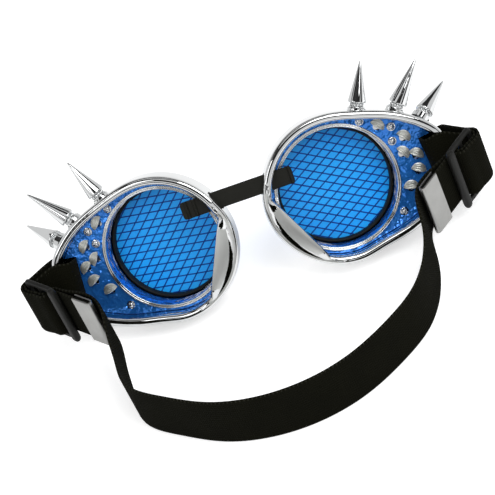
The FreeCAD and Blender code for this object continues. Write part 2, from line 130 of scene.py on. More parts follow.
class Mix(Enum):
    """How one solid changes another."""

    TAKE_AWAY = "DIFFERENCE"
    JOIN = "UNION"


def linear_colour(code: str) -> tuple[float, float, float, float]:
    """Turn an sRGB hex value into a linear colour."""
    shares = [int(code[index:index + 2], 16) / 255 for index in (0, 2, 4)]
    bright = [s / 12.92 if s <= 0.04045 else ((s + 0.055) / 1.055) ** 2.4 for s in shares]
    return (bright[0], bright[1], bright[2], 1.0)


def pattern_scale(size: float) -> float:
    """Give the texture scale at which a pattern repeats every so many millimetres."""
    return 1 / (size * MILLIMETRE)


def set_node(node: Node, settings: Settings) -> None:
    """Set a node's inputs, by name or number, or else its properties."""
    for key, value in settings.items():
        if isinstance(key, int) or key in node.inputs:
            node.inputs[key].default_value = value
        else:
            setattr(node, key, value)


def add_node(
    tree: NodeTree,
    kind: str,
    settings: Optional[Settings] = None,
    links: Optional[dict[Union[str, int], NodeSocket]] = None,
) -> Node:
    """Add a shader node with its settings and links.

    Args:
        tree: The node tree that gets the node.
        kind: The node's type name.
        settings: Values for the node's inputs, or else for its properties.
        links: Outputs to join to the node's inputs, by name or number.

    Returns:
        The new node.
    """
    node = tree.nodes.new(kind)
    set_node(node, settings or {})
    for key, socket in (links or {}).items():
        tree.links.new(socket, node.inputs[key])
    return node


def calculate(tree: NodeTree, operation: str, *values: Value, clamp: bool = False) -> NodeSocket:
    """Add a Math node on numbers and outputs of other nodes, and give its result."""
    numbers = {index: value for index, value in enumerate(values) if isinstance(value, float)}
    links = {index: value for index, value in enumerate(values) if index not in numbers}
    settings = {"operation": operation, "use_clamp": clamp, **numbers}
    return add_node(tree, "ShaderNodeMath", settings, links).outputs[0]


def mix_colours(tree: NodeTree, share: NodeSocket, *colours: Value) -> NodeSocket:
    """Add a mix of two colours, hex values or outputs of other nodes, and give its result."""
    settings, links = {"data_type": "RGBA"}, {"Factor": share}
    for place, colour in zip(MIX_COLOURS, colours):
        if isinstance(colour, str):
            settings[place] = linear_colour(colour)
        else:
            links[place] = colour
    return add_node(tree, "ShaderNodeMix", settings, links).outputs[MIX_RESULT]


def noise(tree: NodeTree, size: float, detail: float) -> NodeSocket:
    """Add noise of a size in the piece's own space and give its value from 0 to 1."""
    place = add_node(tree, "ShaderNodeTexCoord")
    settings = {"Scale": pattern_scale(size), "Detail": detail}
    return add_node(tree, "ShaderNodeTexNoise", settings, {"Vector": place.outputs["Object"]}).outputs["Fac"]


def new_material(name: str, settings: Settings) -> tuple[Material, Node]:
    """Make a material and give it with its shader, whose own sockets hold the settings."""
    made = bpy.data.materials.new(name)
    made.use_nodes = True
    shader = made.node_tree.nodes["Principled BSDF"]
    set_node(shader, settings)
    return made, shader


@dataclass(frozen=True)
class Finish:
    """A material, named for what it is and how its surface was made."""

    name: str
    colour: str
    second_colour: str
    roughness: float
    roughness_spread: float
    cloud_size: float
    grain_size: float
    grain_depth: float
    metallic: float = 0.0
    coat: float = 0.0
    coat_roughness: float = 0.03
    sheen: float = 0.0
    specular: float = 0.5
    bump_strength: float = 1.0

    def material(self) -> Material:
        """Make the material once and give it again each time."""
        known = bpy.data.materials.get(self.name)
        if known:
            return known
        settings = {
            "Metallic": self.metallic,
            "Coat Weight": self.coat,
            "Coat Roughness": self.coat_roughness,
            "Sheen Weight": self.sheen,
            "Specular IOR Level": self.specular,
        }
        made, shader = new_material(self.name, settings)
        self.pattern(made.node_tree, shader)
        return made

    def body_colour(self, tree: NodeTree, clouds: NodeSocket) -> NodeSocket:
        """Mix both colours by the clouds that handling and making leave on a surface."""
        return mix_colours(tree, clouds, self.colour, self.second_colour)

    def pattern(self, tree: NodeTree, shader: Node) -> None:
        """Link colour, roughness and grain to the shader."""
        clouds = noise(tree, self.cloud_size, CLOUD_DETAIL)
        tree.links.new(self.body_colour(tree, clouds), shader.inputs["Base Color"])
        ends = {"To Min": self.roughness, "To Max": self.roughness + self.roughness_spread}
        rough = add_node(tree, "ShaderNodeMapRange", ends, {"Value": clouds})
        tree.links.new(rough.outputs["Result"], shader.inputs["Roughness"])
        self.bump(tree, shader, noise(tree, self.grain_size, GRAIN_DETAIL))

    def bump(self, tree: NodeTree, shader: Node, height: NodeSocket) -> None:
        """Let the shader show a height as unevenness of the grain's depth."""
        settings = {"Strength": self.bump_strength, "Distance": self.grain_depth * MILLIMETRE}
        node = add_node(tree, "ShaderNodeBump", settings, {"Height": height})
        for socket in ("Normal", "Coat Normal"):
            tree.links.new(node.outputs["Normal"], shader.inputs[socket])


@dataclass(frozen=True)
class WovenFinish(Finish):
    """Knitted elastic whose yarns run along and across the strap."""

    bump_strength: float = 0.8
    yarn_pitch: float = 0.9
    stitch_pitch: float = 1.7
    selvage_start: float = 11.7
    selvage_colour: str = "24241e"

    def pattern(self, tree: NodeTree, shader: Node) -> None:
        """Link yarn colour, selvage stitches and weave to the shader.

        Args:
            tree: The material's node tree.
            shader: The shader that takes the pattern.
        """
        place = add_node(tree, "ShaderNodeUVMap", {"uv_map": STRAP_MAP})
        parts = add_node(tree, "ShaderNodeSeparateXYZ", None, {"Vector": place.outputs["UV"]})
        along, across = parts.outputs["X"], parts.outputs["Y"]
        selvage = calculate(tree, "GREATER_THAN", calculate(tree, "ABSOLUTE", across), self.selvage_start)
        stitches = self.wave(tree, along, self.stitch_pitch)
        stitch = calculate(tree, "MULTIPLY", stitches, selvage, clamp=True)
        body = self.body_colour(tree, noise(tree, self.cloud_size, CLOUD_DETAIL))
        colour = mix_colours(tree, stitch, body, self.selvage_colour)
        tree.links.new(colour, shader.inputs["Base Color"])
        set_node(shader, {"Roughness": self.roughness})
        self.bump(tree, shader, self.wave(tree, along, self.yarn_pitch))

    @staticmethod
    def wave(tree: NodeTree, along: NodeSocket, pitch: float) -> NodeSocket:
        """Add a wave that repeats at a pitch along the strap."""
        return calculate(tree, "SINE", calculate(tree, "MULTIPLY", along, 2 * math.pi / pitch))


# Bright chrome on moulded ABS: a clear mirror with faint waves from the moulding under it.
CHROME = Finish(
    "chrome_plated_abs", "eceded", "dfe1e2", 0.03, 0.04, 14.0, 7.0, 0.06, metallic=1.0
)
# Chrome over a broad face of the mould: the same grey with all reflections a little blurred.
SATIN_CHROME = Finish(
    "satin_chrome_plated_abs", "eeefed", "e2e4e1", 0.34, 0.1, 12.0, 8.0, 0.06, metallic=1.0
)
# Chrome over a mould that was blasted: pale grey that mirrors only light and dark.
BLASTED_CHROME = Finish(
    "blasted_chrome_plated_abs", "e2e3de", "ced0ca", 0.3, 0.1, 5.0, 1.2, 0.03, metallic=0.85
)
# Blue lacquer over plated ABS: mirrors the studio in blue, with waves that break the picture up.
BLUE_ABS = Finish(
    "blue_lacquered_plated_abs", "1f74e0", "3f98f8", 0.07, 0.08, 3.4, 3.6, 1.1, metallic=0.65, coat=0.6
)
# Tinted acrylic with a clear moulded face: an even blue with a soft shine, painted brighter than the
# acrylic's own colour as painted light for the backlight through the lens, which the shade inside the tube
# would dim.
BLUE_ACRYLIC_PAINTED_BACKLIGHT = Finish(
    "moulded_blue_acrylic", "1aa4ff", "2ab0ff", 0.25, 0.06, 22.0, 2.0, 0.006, specular=0.25
)
# Ink printed on acrylic: flat navy lines that stand a hair above the face.
NAVY_INK = Finish("printed_navy_ink", "0d3c8c", "10479e", 0.3, 0.1, 9.0, 0.8, 0.01, specular=0.2)
# Moulded rubber: near black, with a dull sheen and a faint grain.
BLACK_RUBBER = Finish(
    "moulded_black_rubber", "14140f", "1c1c17", 0.46, 0.15, 9.0, 0.5, 0.02, specular=0.22
)
# Moulded nylon: charcoal, half matt, with the fine texture of the mould.
BLACK_NYLON = Finish(
    "moulded_black_nylon", "121211", "1c1c1a", 0.4, 0.14, 8.0, 0.6, 0.02, specular=0.22
)
# Nickel-plated sheet steel, rolled: soft grey reflections with a fine grain.
NICKEL_SHEET = Finish(
    "rolled_nickel_sheet", "b4b4b2", "a2a2a0", 0.3, 0.12, 7.0, 0.45, 0.012, metallic=1.0
)
# Knitted elastic: matt black yarn in ribs, with stitches along both selvages.
ELASTIC = WovenFinish(
    "knitted_black_elastic", "0b0b06", "12120a", 0.9, 0.0, 11.0, 0.6, 0.08, sheen=0.012, specular=0.03
)


class Spline:
    """A smooth curve through points, measured along its chords."""

    def __init__(self, points: Sequence[Vector], closed: bool = False) -> None:
        """Solve the curve."""
        rows = [tuple(p) for p in points] + ([tuple(points[0])] if closed else [])
        self.spots = np.array(rows)
        self.spans = np.linalg.norm(np.diff(self.spots, axis=0), axis=1)
        self.marks = np.concatenate([[0.0], np.cumsum(self.spans)])
        self.bends = self._bends(closed)

    @property
    def length(self) -> float:
        """Give the length of all chords."""
        return float(self.marks[-1])

    def _bends(self, closed: bool) -> np.ndarray:
        """Solve the second derivative at each point.

        Args:
            closed: Whether the curve comes back to its first point.

        Returns:
            One row for each point.
        """
        count = len(self.spans)
        slopes = np.diff(self.spots, axis=0) / self.spans[:, None]
        size = count if closed else count + 1
        matrix = np.eye(size)
        right = np.zeros((size, 3))
        for index in range(0 if closed else 1, count):
            before, after = self.spans[index - 1], self.spans[index]
            matrix[index, index] = 2 * (before + after)
            matrix[index, (index - 1) % size] = before
            matrix[index, (index + 1) % size] = after
            right[index] = 6 * (slopes[index] - slopes[index - 1])
        bends = np.linalg.solve(matrix, right)
        return np.vstack([bends, bends[:1]]) if closed else bends

    def at(self, mark: float) -> Vector:
        """Give the point at a length along the chords."""
        index = int(np.clip(np.searchsorted(self.marks, mark, side="right") - 1, 0, len(self.spans) - 1))
        span = self.spans[index]
        low = (self.marks[index + 1] - mark) / span
        high = 1 - low
        bend = (low ** 3 - low) * self.bends[index] + (high ** 3 - high) * self.bends[index + 1]
        return Vector(low * self.spots[index] + high * self.spots[index + 1] + bend * span ** 2 / 6)


class Piece:
    """Points and faces of one piece, gathered in millimetres."""

    def __init__(self) -> None:
        """Start with nothing."""
        self.points: list[Vector] = []
        self.faces: list[tuple[int, ...]] = []
        self.finish_of: list[int] = []
        self.ways: list[Point] = []

    def grid(
        self,
        rows: Sequence[Ring],
        loop: bool = False,
        finish: int = 0,
        ways: Optional[Sequence[Sequence[Point]]] = None,
    ) -> "Piece":
        """Add a closed skin over rings of points.

        Args:
            rows: Rings with the same number of points.
            loop: Whether the last ring joins the first one, or else both are capped.
            finish: Which of the piece's finishes the skin has.
            ways: Distance along and across for each point, where a pattern follows them.

        Returns:
            This piece.
        """
        start = len(self.points)
        wide = len(rows[0])
        for index, row in enumerate(rows):
            self.points.extend(row)
            self.ways.extend(ways[index] if ways else [(0.0, 0.0)] * wide)
        pairs = [(index, index + 1) for index in range(len(rows) - 1)]
        if loop:
            pairs.append((len(rows) - 1, 0))
        else:
            last = start + (len(rows) - 1) * wide
            self._face([start + index for index in range(wide)], finish)
            self._face([last + index for index in reversed(range(wide))], finish)
        for low, high in pairs:
            near, far = start + low * wide, start + high * wide
            for index in range(wide):
                after = (index + 1) % wide
                self._face([near + after, near + index, far + index, far + after], finish)
        return self

    def _face(self, corners: Sequence[int], finish: int) -> None:
        """Add one face with its finish."""
        self.faces.append(tuple(corners))
        self.finish_of.append(finish)

    def lathe(
        self,
        profile: Sequence[Point],
        place: Matrix,
        steps: int = 64,
        loop: bool = False,
        finish: int = 0,
        reach: Optional[Callable[[float, int], float]] = None,
    ) -> "Piece":
        """Turn a profile of radius and level about the Z axis of a place.

        Args:
            profile: Pairs of radius and level.
            place: Where the axis stands.
            steps: Points in each ring.
            loop: Whether the profile closes on itself, as in a ring.
            finish: Which of the piece's finishes the skin has.
            reach: Change of radius for an angle and a profile index.

        Returns:
            This piece.
        """
        rows = []
        for mark, (radius, level) in enumerate(profile):
            row = []
            for index in range(steps):
                turn = 2 * math.pi * index / steps
                out = radius + (reach(turn, mark) if reach else 0.0)
                row.append(place @ Vector((out * math.cos(turn), out * math.sin(turn), level)))
            rows.append(row)
        return self.grid(rows, loop, finish)

    def make(
        self,
        name: str,
        finishes: Sequence[Finish],
        place: Optional[Matrix] = None,
        sharp: float = PLAIN_SHARP,
    ) -> Object:
        """Turn the points and faces into an object.

        Args:
            name: The object's name.
            finishes: The finishes that the faces refer to.
            place: Where the piece stands, in millimetres.
            sharp: The angle above which an edge stays sharp.

        Returns:
            The new object, in metres.
        """
        shape = bmesh.new()
        stand = place or Matrix.Identity(4)
        corners = [shape.verts.new((stand @ point) * MILLIMETRE) for point in self.points]
        layer = shape.loops.layers.uv.new(STRAP_MAP)
        for spots, finish in zip(self.faces, self.finish_of):
            face = shape.faces.new([corners[spot] for spot in spots])
            face.material_index = finish
            for loop_corner, spot in zip(face.loops, spots):
                loop_corner[layer].uv = self.ways[spot]
        bmesh.ops.recalc_face_normals(shape, faces=shape.faces)
        mesh = bpy.data.meshes.new(name)
        shape.to_mesh(mesh)
        shape.free()
        made = bpy.data.objects.new(name, mesh)
        bpy.context.scene.collection.objects.link(made)
        for finish in finishes:
            mesh.materials.append(finish.material())
        soften(made, sharp)
        return made


def soften(piece: Object, sharp: float = PLAIN_SHARP) -> None:
    """Shade a piece smooth apart from edges above an angle."""
    piece.data.shade_smooth()
    piece.data.set_sharp_from_angle(angle=math.radians(sharp))


def combine(base: Object, tool: Object, way: Mix) -> None:
    """Change one solid by another and delete the other.

    Args:
        base: The solid that stays.
        tool: The solid that is used up.
        way: How the base changes.
    """
    step = base.modifiers.new("combine", "BOOLEAN")
    step.operation = way.value
    step.solver = "EXACT"
    step.object = tool
    bpy.context.view_layer.update()
    graph = bpy.context.evaluated_depsgraph_get()
    fresh = bpy.data.meshes.new_from_object(base.evaluated_get(graph))
    base.modifiers.clear()
    base.data = fresh
    bpy.data.objects.remove(tool)


def axis_place(foot: Vector, way: Vector) -> Matrix:
    """Give a place whose Z axis points a way from a foot."""
    turn = UPWARDS.rotation_difference(way.normalized())
    return Matrix.Translation(foot) @ turn.to_matrix().to_4x4()


LENS_AXIS = axis_place(Vector(), TO_WEARER)


def settle(piece: Object, place: Matrix) -> None:
    """Move a piece that was cut in its own frame to its place, which may be a mirrored one."""
    stand = place.copy()
    stand.translation *= MILLIMETRE
    piece.data.transform(stand)
    if stand.is_negative:
        piece.data.flip_normals()
    soften(piece)


def block(name: str, low: Vector, high: Vector, place: Optional[Matrix] = None) -> Object:
    """Make a plain block between two corners, to cut or to stand on."""
    plan = ((low.x, low.y), (high.x, low.y), (high.x, high.y), (low.x, high.y))
    rows = [[Vector((x, y, level)) for x, y in plan] for level in (low.z, high.z)]
    return Piece().grid(rows).make(name, [], place)


def arc(middle: Point, radius: float, start: float, end: float, steps: int) -> list[Point]:
    """List points of an arc.

    Args:
        middle: The arc's middle.
        radius: Its radius.
        start: Its first angle.
        end: Its last angle.
        steps: How many parts it has.

    Returns:
        The points, both ends included.
    """
    turns = [math.radians(start + (end - start) * index / steps) for index in range(steps + 1)]
    return [(middle[0] + radius * math.cos(t), middle[1] + radius * math.sin(t)) for t in turns]


def rounded_box(wide: float, tall: float, radius: float, steps: int = 5) -> list[Point]:
    """List the outline of a rectangle with round corners, about its middle.

    Args:
        wide: Its size along the first axis.
        tall: Its size along the second axis.
        radius: The radius of its corners.
        steps: Parts of each corner.

    Returns:
        The points, all the way round.
    """
    reach, rise = wide / 2 - radius, tall / 2 - radius
    corners = ((reach, rise, 0), (-reach, rise, 90), (-reach, -rise, 180), (reach, -rise, 270))
    points: list[Point] = []
    for across, up, turn in corners:
        points += arc((across, up), radius, turn, turn + 90, steps)
    return points


def dress(piece: Object, node: str) -> None:
    """Let a piece stand for a CAD node and move with its body."""
    body = body_of(frame["nodes"][node])[0]
    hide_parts(node)
    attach(piece, body)
    LOG.info("%s rides on %s", piece.name, body)


@dataclass
class Standing:
    """How the goggles stand on the table."""

    half_spacing: float = 38.7
    pitch: float = 30.4
    yaw: float = 11.1
    back_shift: float = -31.7653
    lift: float = 31.5028

    def table(self, side: Side = Side.LEFT) -> Matrix:
        """Give the frame between the lens rings, mirrored for the right side."""
        shift = Matrix.Translation((0.0, self.back_shift, self.lift))
        return Matrix.Scale(side.value, 4, (1.0, 0.0, 0.0)) @ shift

    def local_cup(self) -> Matrix:
        """Give the left cup's place between the lens rings."""
        turn = Matrix.Rotation(math.radians(-self.yaw), 4, "Z")
        tilt = Matrix.Rotation(math.radians(self.pitch), 4, "X")
        return Matrix.Translation((self.half_spacing, 0.0, 0.0)) @ turn @ tilt

    def cup(self, side: Side) -> Matrix:
        """Give the place of either cup on the table."""
        return self.table(side) @ self.local_cup()


@dataclass
class CupOutline:
    """The outline of a cup, round at the nose and drawn out to the temple."""

    rim_radius: float = 32.0
    round_start: float = 78.0
    round_end: float = 282.0
    round_steps: int = 12
    temple_shares: tuple[Point, ...] = (
        (0.630, -0.944), (1.080, -0.825), (1.375, -0.672), (1.519, -0.438), (1.55, -0.156),
        (1.509, 0.109), (1.344, 0.359), (1.047, 0.612), (0.688, 0.800),
    )
    samples: int = 288
    spots: Ring = field(default_factory=list)
    inwards: Ring = field(default_factory=list)

    def __post_init__(self) -> None:
        """Sample the outline and its inward direction."""
        curved = arc((0.0, 0.0), self.rim_radius, self.round_start, self.round_end, self.round_steps)
        points = [Vector((across, 0.0, up)) for across, up in curved]
        points += [Vector((across, 0.0, up)) * self.rim_radius for across, up in self.temple_shares]
        curve = Spline(points, closed=True)
        step = curve.length / self.samples
        self.spots = [curve.at(step * index) for index in range(self.samples)]
        for index in range(self.samples):
            way = self.spots[(index + 1) % self.samples] - self.spots[index - 1]
            self.inwards.append(Vector((-way.z, 0.0, way.x)).normalized())

    def ring(self, inset: float, level: float) -> Ring:
        """Give the outline at an inset and a level."""
        return [spot + way * inset + TO_WEARER * level for spot, way in zip(self.spots, self.inwards)]

    def circle(self, radius: float, level: float) -> Ring:
        """Give a circle about the lens axis, with points that face the outline's."""
        return [spot.normalized() * radius + TO_WEARER * level for spot in self.spots]


@dataclass
class CupWork:
    """What belongs to one cup and is drawn in its upright frame."""

    side: Side
    standing: Standing

    def place(self) -> Matrix:
        """Give the cup's place on the table."""
        return self.standing.cup(self.side)

    def put(
        self,
        piece: Piece,
        name: str,
        finishes: Sequence[Finish],
        slot: str,
        sharp: float = PLAIN_SHARP,
    ) -> None:
        """Make a piece at the cup's place and dress it.

        Args:
            piece: The piece in the upright cup's frame.
            name: Its name without its side.
            finishes: What it is made of.
            slot: The record's material slot; not used.
            sharp: The angle above which an edge stays sharp.
        """
        full = self.side.name_of(name)
        dress(piece.make(full, finishes, self.place(), sharp), full)

    def ring(self, name: str, profile: Sequence[Point], finish: Finish, slot: str) -> None:
        """Turn a closed profile of radius and level about the lens axis and dress it."""
        self.put(Piece().lathe(profile, LENS_AXIS, RING_STEPS, loop=True), name, [finish], slot)


@dataclass
class Rivets(CupWork):
    """The rivets of a panel: a flange, a groove and a dome with petals."""

    feet: Ring
    flange: tuple[Point, ...] = (
        (0.8, -3.0), (0.8, -0.05), (1.85, -0.05), (1.9, 0.2), (1.78, 0.4), (1.6, 0.42), (1.5, 0.3),
    )
    dome: Bead = ((0.0, 0.2), 1.42)
    dome_steps: int = 8
    petal_count: int = 4
    petal_depth: float = 0.3
    petal_sharpness: int = 6

    def build(self) -> None:
        """Build and dress all rivets as one piece."""
        start, end = len(self.flange), len(self.flange) + self.dome_steps - 1
        profile = list(self.flange) + arc(*self.dome, 8, 84, self.dome_steps)

        def lobe(turn: float, mark: int) -> float:
            """Sink a cross between the petals."""
            share = abs(math.cos(self.petal_count / 2 * turn)) ** self.petal_sharpness
            return -self.petal_depth * share if start <= mark < end else 0.0

        piece = Piece()
        for foot in self.feet:
            piece.lathe(profile, axis_place(foot, TO_WEARER), steps=48, reach=lobe)
        self.put(piece, "rivets", [CHROME], "plated_trim", TURNED_SHARP)


@dataclass
class Vents(CupWork):
    """The ribbed hoods over the air holes of a panel."""

    feet: Ring
    mouths: Sequence[float]
    radius: float = 3.25
    flatness: float = 0.5
    wall: float = 0.6
    groove: float = 0.55
    turn: float = 100.0
    steps: int = 40
    rib_steps: int = 8
    parts: int = 24

    def build(self) -> None:
        """Build and dress all hoods as one piece."""
        piece = Piece()
        for foot, mouth in zip(self.feet, self.mouths):
            piece.grid(self.hood(foot, math.radians(mouth)))
        self.put(piece, "vents", [BLASTED_CHROME], "plated_trim", TURNED_SHARP)

    def hood(self, foot: Vector, mouth: float) -> list[Ring]:
        """List rings over one hood.

        Args:
            foot: The middle of its foot.
            mouth: The direction of its mouth, in radians.

        Returns:
            Rings from its back to its mouth, each over the outer skin and back along the inner one.
        """
        ahead = Vector((math.cos(mouth), 0.0, math.sin(mouth)))
        aside = ahead.cross(TO_WEARER)
        turns = [math.pi * part / self.parts for part in range(self.parts + 1)]
        inner = self.radius - self.wall
        rows = []
        for step in range(self.steps + 1):
            angle = math.radians(self.turn) * step / self.steps
            way = TO_WEARER * (self.flatness * math.sin(angle)) - ahead * math.cos(angle)
            skin = [aside * math.cos(turn) + way * math.sin(turn) for turn in turns]
            sink = self.groove * (1 - abs(math.sin(math.pi * step / self.rib_steps)))
            row = [foot + spot * (self.radius - sink) for spot in skin]
            rows.append(row + [foot + spot * inner for spot in reversed(skin)])
        return rows


@dataclass
class Spike(CupWork):
    """A spike: stud, flange, beaded neck and cone with a rounded lower edge."""

    name: str
    height: float
    foot: Vector
    way: Vector
    stud: tuple[Point, ...] = ((1.5, -3.0), (1.5, 0.0), (3.2, 0.0))
    flange: Bead = ((3.1, 0.35), 0.35)
    neck: Bead = ((2.3, 1.3), 0.6)
    neck_ends: tuple[Point, Point] = ((2.6, 0.75), (2.3, 1.95))
    neck_beads: int = 12
    bead_depth: float = 0.4
    cone_edge: Bead = ((3.4, 2.6), 0.6)
    cone_root: Point = (3.98, 2.75)
    cone_taper: float = 3.6
    cone_shares: tuple[float, ...] = (0.2, 0.4, 0.6, 0.8, 0.95)
    tip_round: float = 0.38
    tip_sink: float = 0.4

    def build(self) -> None:
        """Build and dress the spike."""
        profile = list(self.stud) + arc(*self.flange, -60, 90, 5) + [self.neck_ends[0]]
        beads = len(profile)
        profile += arc(*self.neck, -70, 70, 6)
        after = len(profile)
        profile += [self.neck_ends[1]] + arc(*self.cone_edge, -90, 15, 6)
        radius, root = self.cone_root
        tip = self.cone_edge[0][1] + self.height
        for share in self.cone_shares:
            profile.append((radius - self.cone_taper * share, root + (tip - root) * share))
        profile += arc((0.0, tip - self.tip_sink), self.tip_round, 20, 80, 4)

        def bulge(turn: float, mark: int) -> float:
            """Round the neck into beads."""
            share = abs(math.cos(self.neck_beads / 2 * turn)) - 0.5
            return self.bead_depth * share if beads <= mark < after else 0.0

        piece = Piece().lathe(profile, axis_place(self.foot, self.way), steps=72, reach=bulge)
        self.put(piece, self.name, [CHROME], "plated_trim", TURNED_SHARP)


@dataclass
class Cup(CupWork):
    """One plated cup with its panel, tube, trim, rivets, vents and spikes."""

    outline: CupOutline
    rim_width: float = 3.8
    rim_round: float = 1.7
    rim_height: float = 6.0
    edge_round: float = 1.4
    panel_back: float = -0.6
    panel_front: float = -2.2
    plate_front: float = -4.6
    neck_front: float = -12.0
    bore_radius: float = 25.2
    tube_wall: float = 1.3
    tube_length: float = 7.6
    neck_wall: float = 1.0
    fit_gap: float = 0.1
    trim_width: float = 1.6
    trim_height: float = 0.8
    nose_distance: float = 22.5
    nose_turn: float = 200.0
    nose_edge: float = 5.2
    nose_outer_edge: float = 1.5
    nose_underside: float = 0.9
    nose_round: float = 0.7
    nose_bulge: float = 0.25
    slot_x: float = 39.6
    slot_z: float = -5.6
    slot_width: float = 3.0
    slot_height: float = 26.2
    panel_top: float = 3.4
    panel_overhang: float = 0.8
    panel_round: float = 0.5
    bridge_entry: Spot = (-31.0, 0.7, 16.0)
    bridge_hole: Spot = (28.0, 2.5, 8.4)
    rivet_shares: tuple[Point, ...] = ((0.615, 0.655), (0.959, 0.406), (0.894, 0.229), (0.648, -0.680))
    # Across and up in rim radii, and the direction of the mouth.
    vent_places: tuple[Spot, ...] = (
        (0.795, 0.489, 215.0), (1.045, 0.205, 215.0), (0.945, 0.020, 205.0),
        (1.100, -0.082, 225.0), (1.047, -0.277, 235.0), (0.865, -0.440, 250.0),
    )
    # Name and height, then what spike_frame takes.
    spike_places: tuple[tuple[str, float, float, float, float, float, float], ...] = (
        ("spike_upper", 17.0, 0.650, 0.816, 0.2, 60.0, 0.0),
        ("spike_middle", 19.6, 1.094, 0.584, 0.2, 42.0, 0.0),
        ("spike_front", 17.0, 1.363, 0.341, -1.2, 25.0, 28.0),
    )
    boss_radius: float = 4.0
    boss_height: float = 0.8
    reach: float = 60.0
    round_steps: int = 8
    cut_past: float = 1.0
    nose_step: float = 0.01
    satin_facing: float = 0.85
    boss_bevel: float = 0.2
    neck_bevel: float = 0.3
    thread_count: int = 4
    thread_start: float = 3.0
    thread_pitch: float = 0.75
    thread_size: Point = (0.25, 0.35)
    tube_shares: tuple[float, ...] = (0.3, 0.6, 0.9)
    vent_hole: float = 1.7

    def build(self) -> None:
        """Build and dress every fixed piece of the cup."""
        self.shell()
        self.panel()
        self.neck()
        self.tube()
        self.trim()
        feet = [self.panel_spot(*share) for share in self.rivet_shares]
        Rivets(self.side, self.standing, feet).build()
        feet = [self.panel_spot(across, up) for across, up, _ in self.vent_places]
        Vents(self.side, self.standing, feet, [mouth for _, _, mouth in self.vent_places]).build()
        for name, height, *numbers in self.spike_places:
            foot, way = self.spike_frame(*numbers)
            Spike(self.side, self.standing, name, height, foot + way * self.boss_height, way).build()

    @property
    def hole_radius(self) -> float:
        """Give the radius of the hole that the tube stands in."""
        return self.bore_radius + self.tube_wall + self.fit_gap

    def hole_rings(self, *levels: float) -> list[Ring]:
        """List rings round that hole at some levels."""
        return [self.outline.circle(self.hole_radius, level) for level in levels]

    def panel_spot(self, across: float, up: float) -> Vector:
        """Give a point on the panel's back from shares of the rim radius."""
        return Vector((across, 0.0, up)) * self.outline.rim_radius + TO_WEARER * self.panel_back

    def nose_reach(self, spot: Vector) -> float:
        """Give how far a point lies towards the nose."""
        turn = math.radians(self.nose_turn)
        return spot.x * math.cos(turn) + spot.z * math.sin(turn)

    def spike_frame(
        self, across: float, up: float, level: float, turn: float, tilt: float
    ) -> tuple[Vector, Vector]:
        """Give a spike's foot and direction.

        Args:
            across: Share of the rim radius towards the temple.
            up: Share of the rim radius upwards.
            level: Level of the foot.
            turn: Turn upwards.
            tilt: Tilt to the front.

        Returns:
            The foot and the direction.
        """
        turned, tilted = math.radians(turn), math.radians(tilt)
        flat = math.cos(tilted)
        way = Vector((math.cos(turned) * flat, -math.sin(tilted), math.sin(turned) * flat))
        radius = self.outline.rim_radius
        return Vector((across * radius, level, up * radius)), way

    def nose_levels(self, spot: Vector) -> tuple[float, float, float]:
        """Give the rim's width, outer top level and inner top level at a point of the outline.

        Args:
            spot: The point of the outline.

        Returns:
            The width and both levels; the nose flat makes the rim wide and low.
        """
        radius = self.outline.rim_radius
        slope = (self.nose_edge - self.nose_outer_edge) / (radius - self.nose_distance)
        reach = self.nose_reach(spot)
        width = self.rim_width + self.nose_step
        if reach > self.nose_distance:
            width = max(width, radius * (1 - self.nose_distance / reach))
        near = reach * (1 - width / radius)
        levels = [self.nose_edge - (d - self.nose_distance) * slope for d in (reach, near)]
        return width, min(self.rim_height, levels[0]), min(self.rim_height, levels[1])

    def rim_profile(self, spot: Vector) -> list[Point]:
        """List inset and level round the rim at a point of the outline.

        Args:
            spot: The point of the outline.

        Returns:
            The profile from the plate's lower edge over the rim to the panel.
        """
        low, edge = self.plate_front, self.edge_round
        width, outer, inner = self.nose_levels(spot)
        share = (width - self.rim_width) / (self.outline.rim_radius - self.nose_distance - self.rim_width)
        inner_round = self.rim_round + (self.nose_round - self.rim_round) * min(1.0, 2 * share)
        top = outer - self.rim_round
        profile = arc((edge, low + edge), edge, 270, 180, self.round_steps)
        profile += [(0.0, low + edge + (top - low - edge) * part) for part in QUARTERS]
        profile += arc((self.rim_round, top), self.rim_round, 180, 90, self.round_steps)
        land = width - inner_round - self.rim_round
        for part in QUARTERS:
            bulge = self.nose_bulge * share * 4 * part * (1 - part)
            profile.append((self.rim_round + land * part, outer + (inner - outer) * part + bulge))
        profile += arc((width - inner_round, inner - inner_round), inner_round, 90, 0, self.round_steps)
        profile += [(width, self.nose_underside), (self.rim_width, self.nose_underside)]
        profile += [(self.rim_width, self.panel_back), (self.rim_width, self.panel_front)]
        return profile

    def shell_rows(self) -> list[Ring]:
        """List rings round the shell: outer wall, rim, nose flat, plate and bore.

        Returns:
            Rings that close on themselves.
        """
        profiles = [self.rim_profile(spot) for spot in self.outline.spots]
        rows = []
        for mark in range(len(profiles[0])):
            row = []
            for spot, way, profile in zip(self.outline.spots, self.outline.inwards, profiles):
                inset, level = profile[mark]
                row.append(spot + way * inset + TO_WEARER * level)
            rows.append(row)
        return rows + self.hole_rings(self.panel_front, self.plate_front)

    def shell(self) -> None:
        """Build the plated shell with its bosses, slot and bridge hole."""
        name = self.side.name_of("cup_shell")
        shell = Piece().grid(self.shell_rows(), loop=True).make(name, [CHROME, SATIN_CHROME])
        self.satin_nose(shell)
        radius, bevel = self.boss_radius, self.boss_bevel
        profile = [(radius, -self.rim_width / 2), (radius, self.boss_height - bevel)]
        profile += [(radius - bevel, self.boss_height)]
        for _, _, *numbers in self.spike_places:
            boss = Piece().lathe(profile, axis_place(*self.spike_frame(*numbers)), steps=48)
            combine(shell, boss.make("boss", [CHROME]), Mix.JOIN)
        hole = [(self.hole_radius, -self.reach), (self.hole_radius, self.panel_front)]
        drill = Piece().lathe(hole, LENS_AXIS, steps=96).make("drill", [CHROME])
        for cutter in (drill, self.slot_cutter(), self.bridge_cutter()):
            combine(shell, cutter, Mix.TAKE_AWAY)
        settle(shell, self.place())
        dress(shell, name)

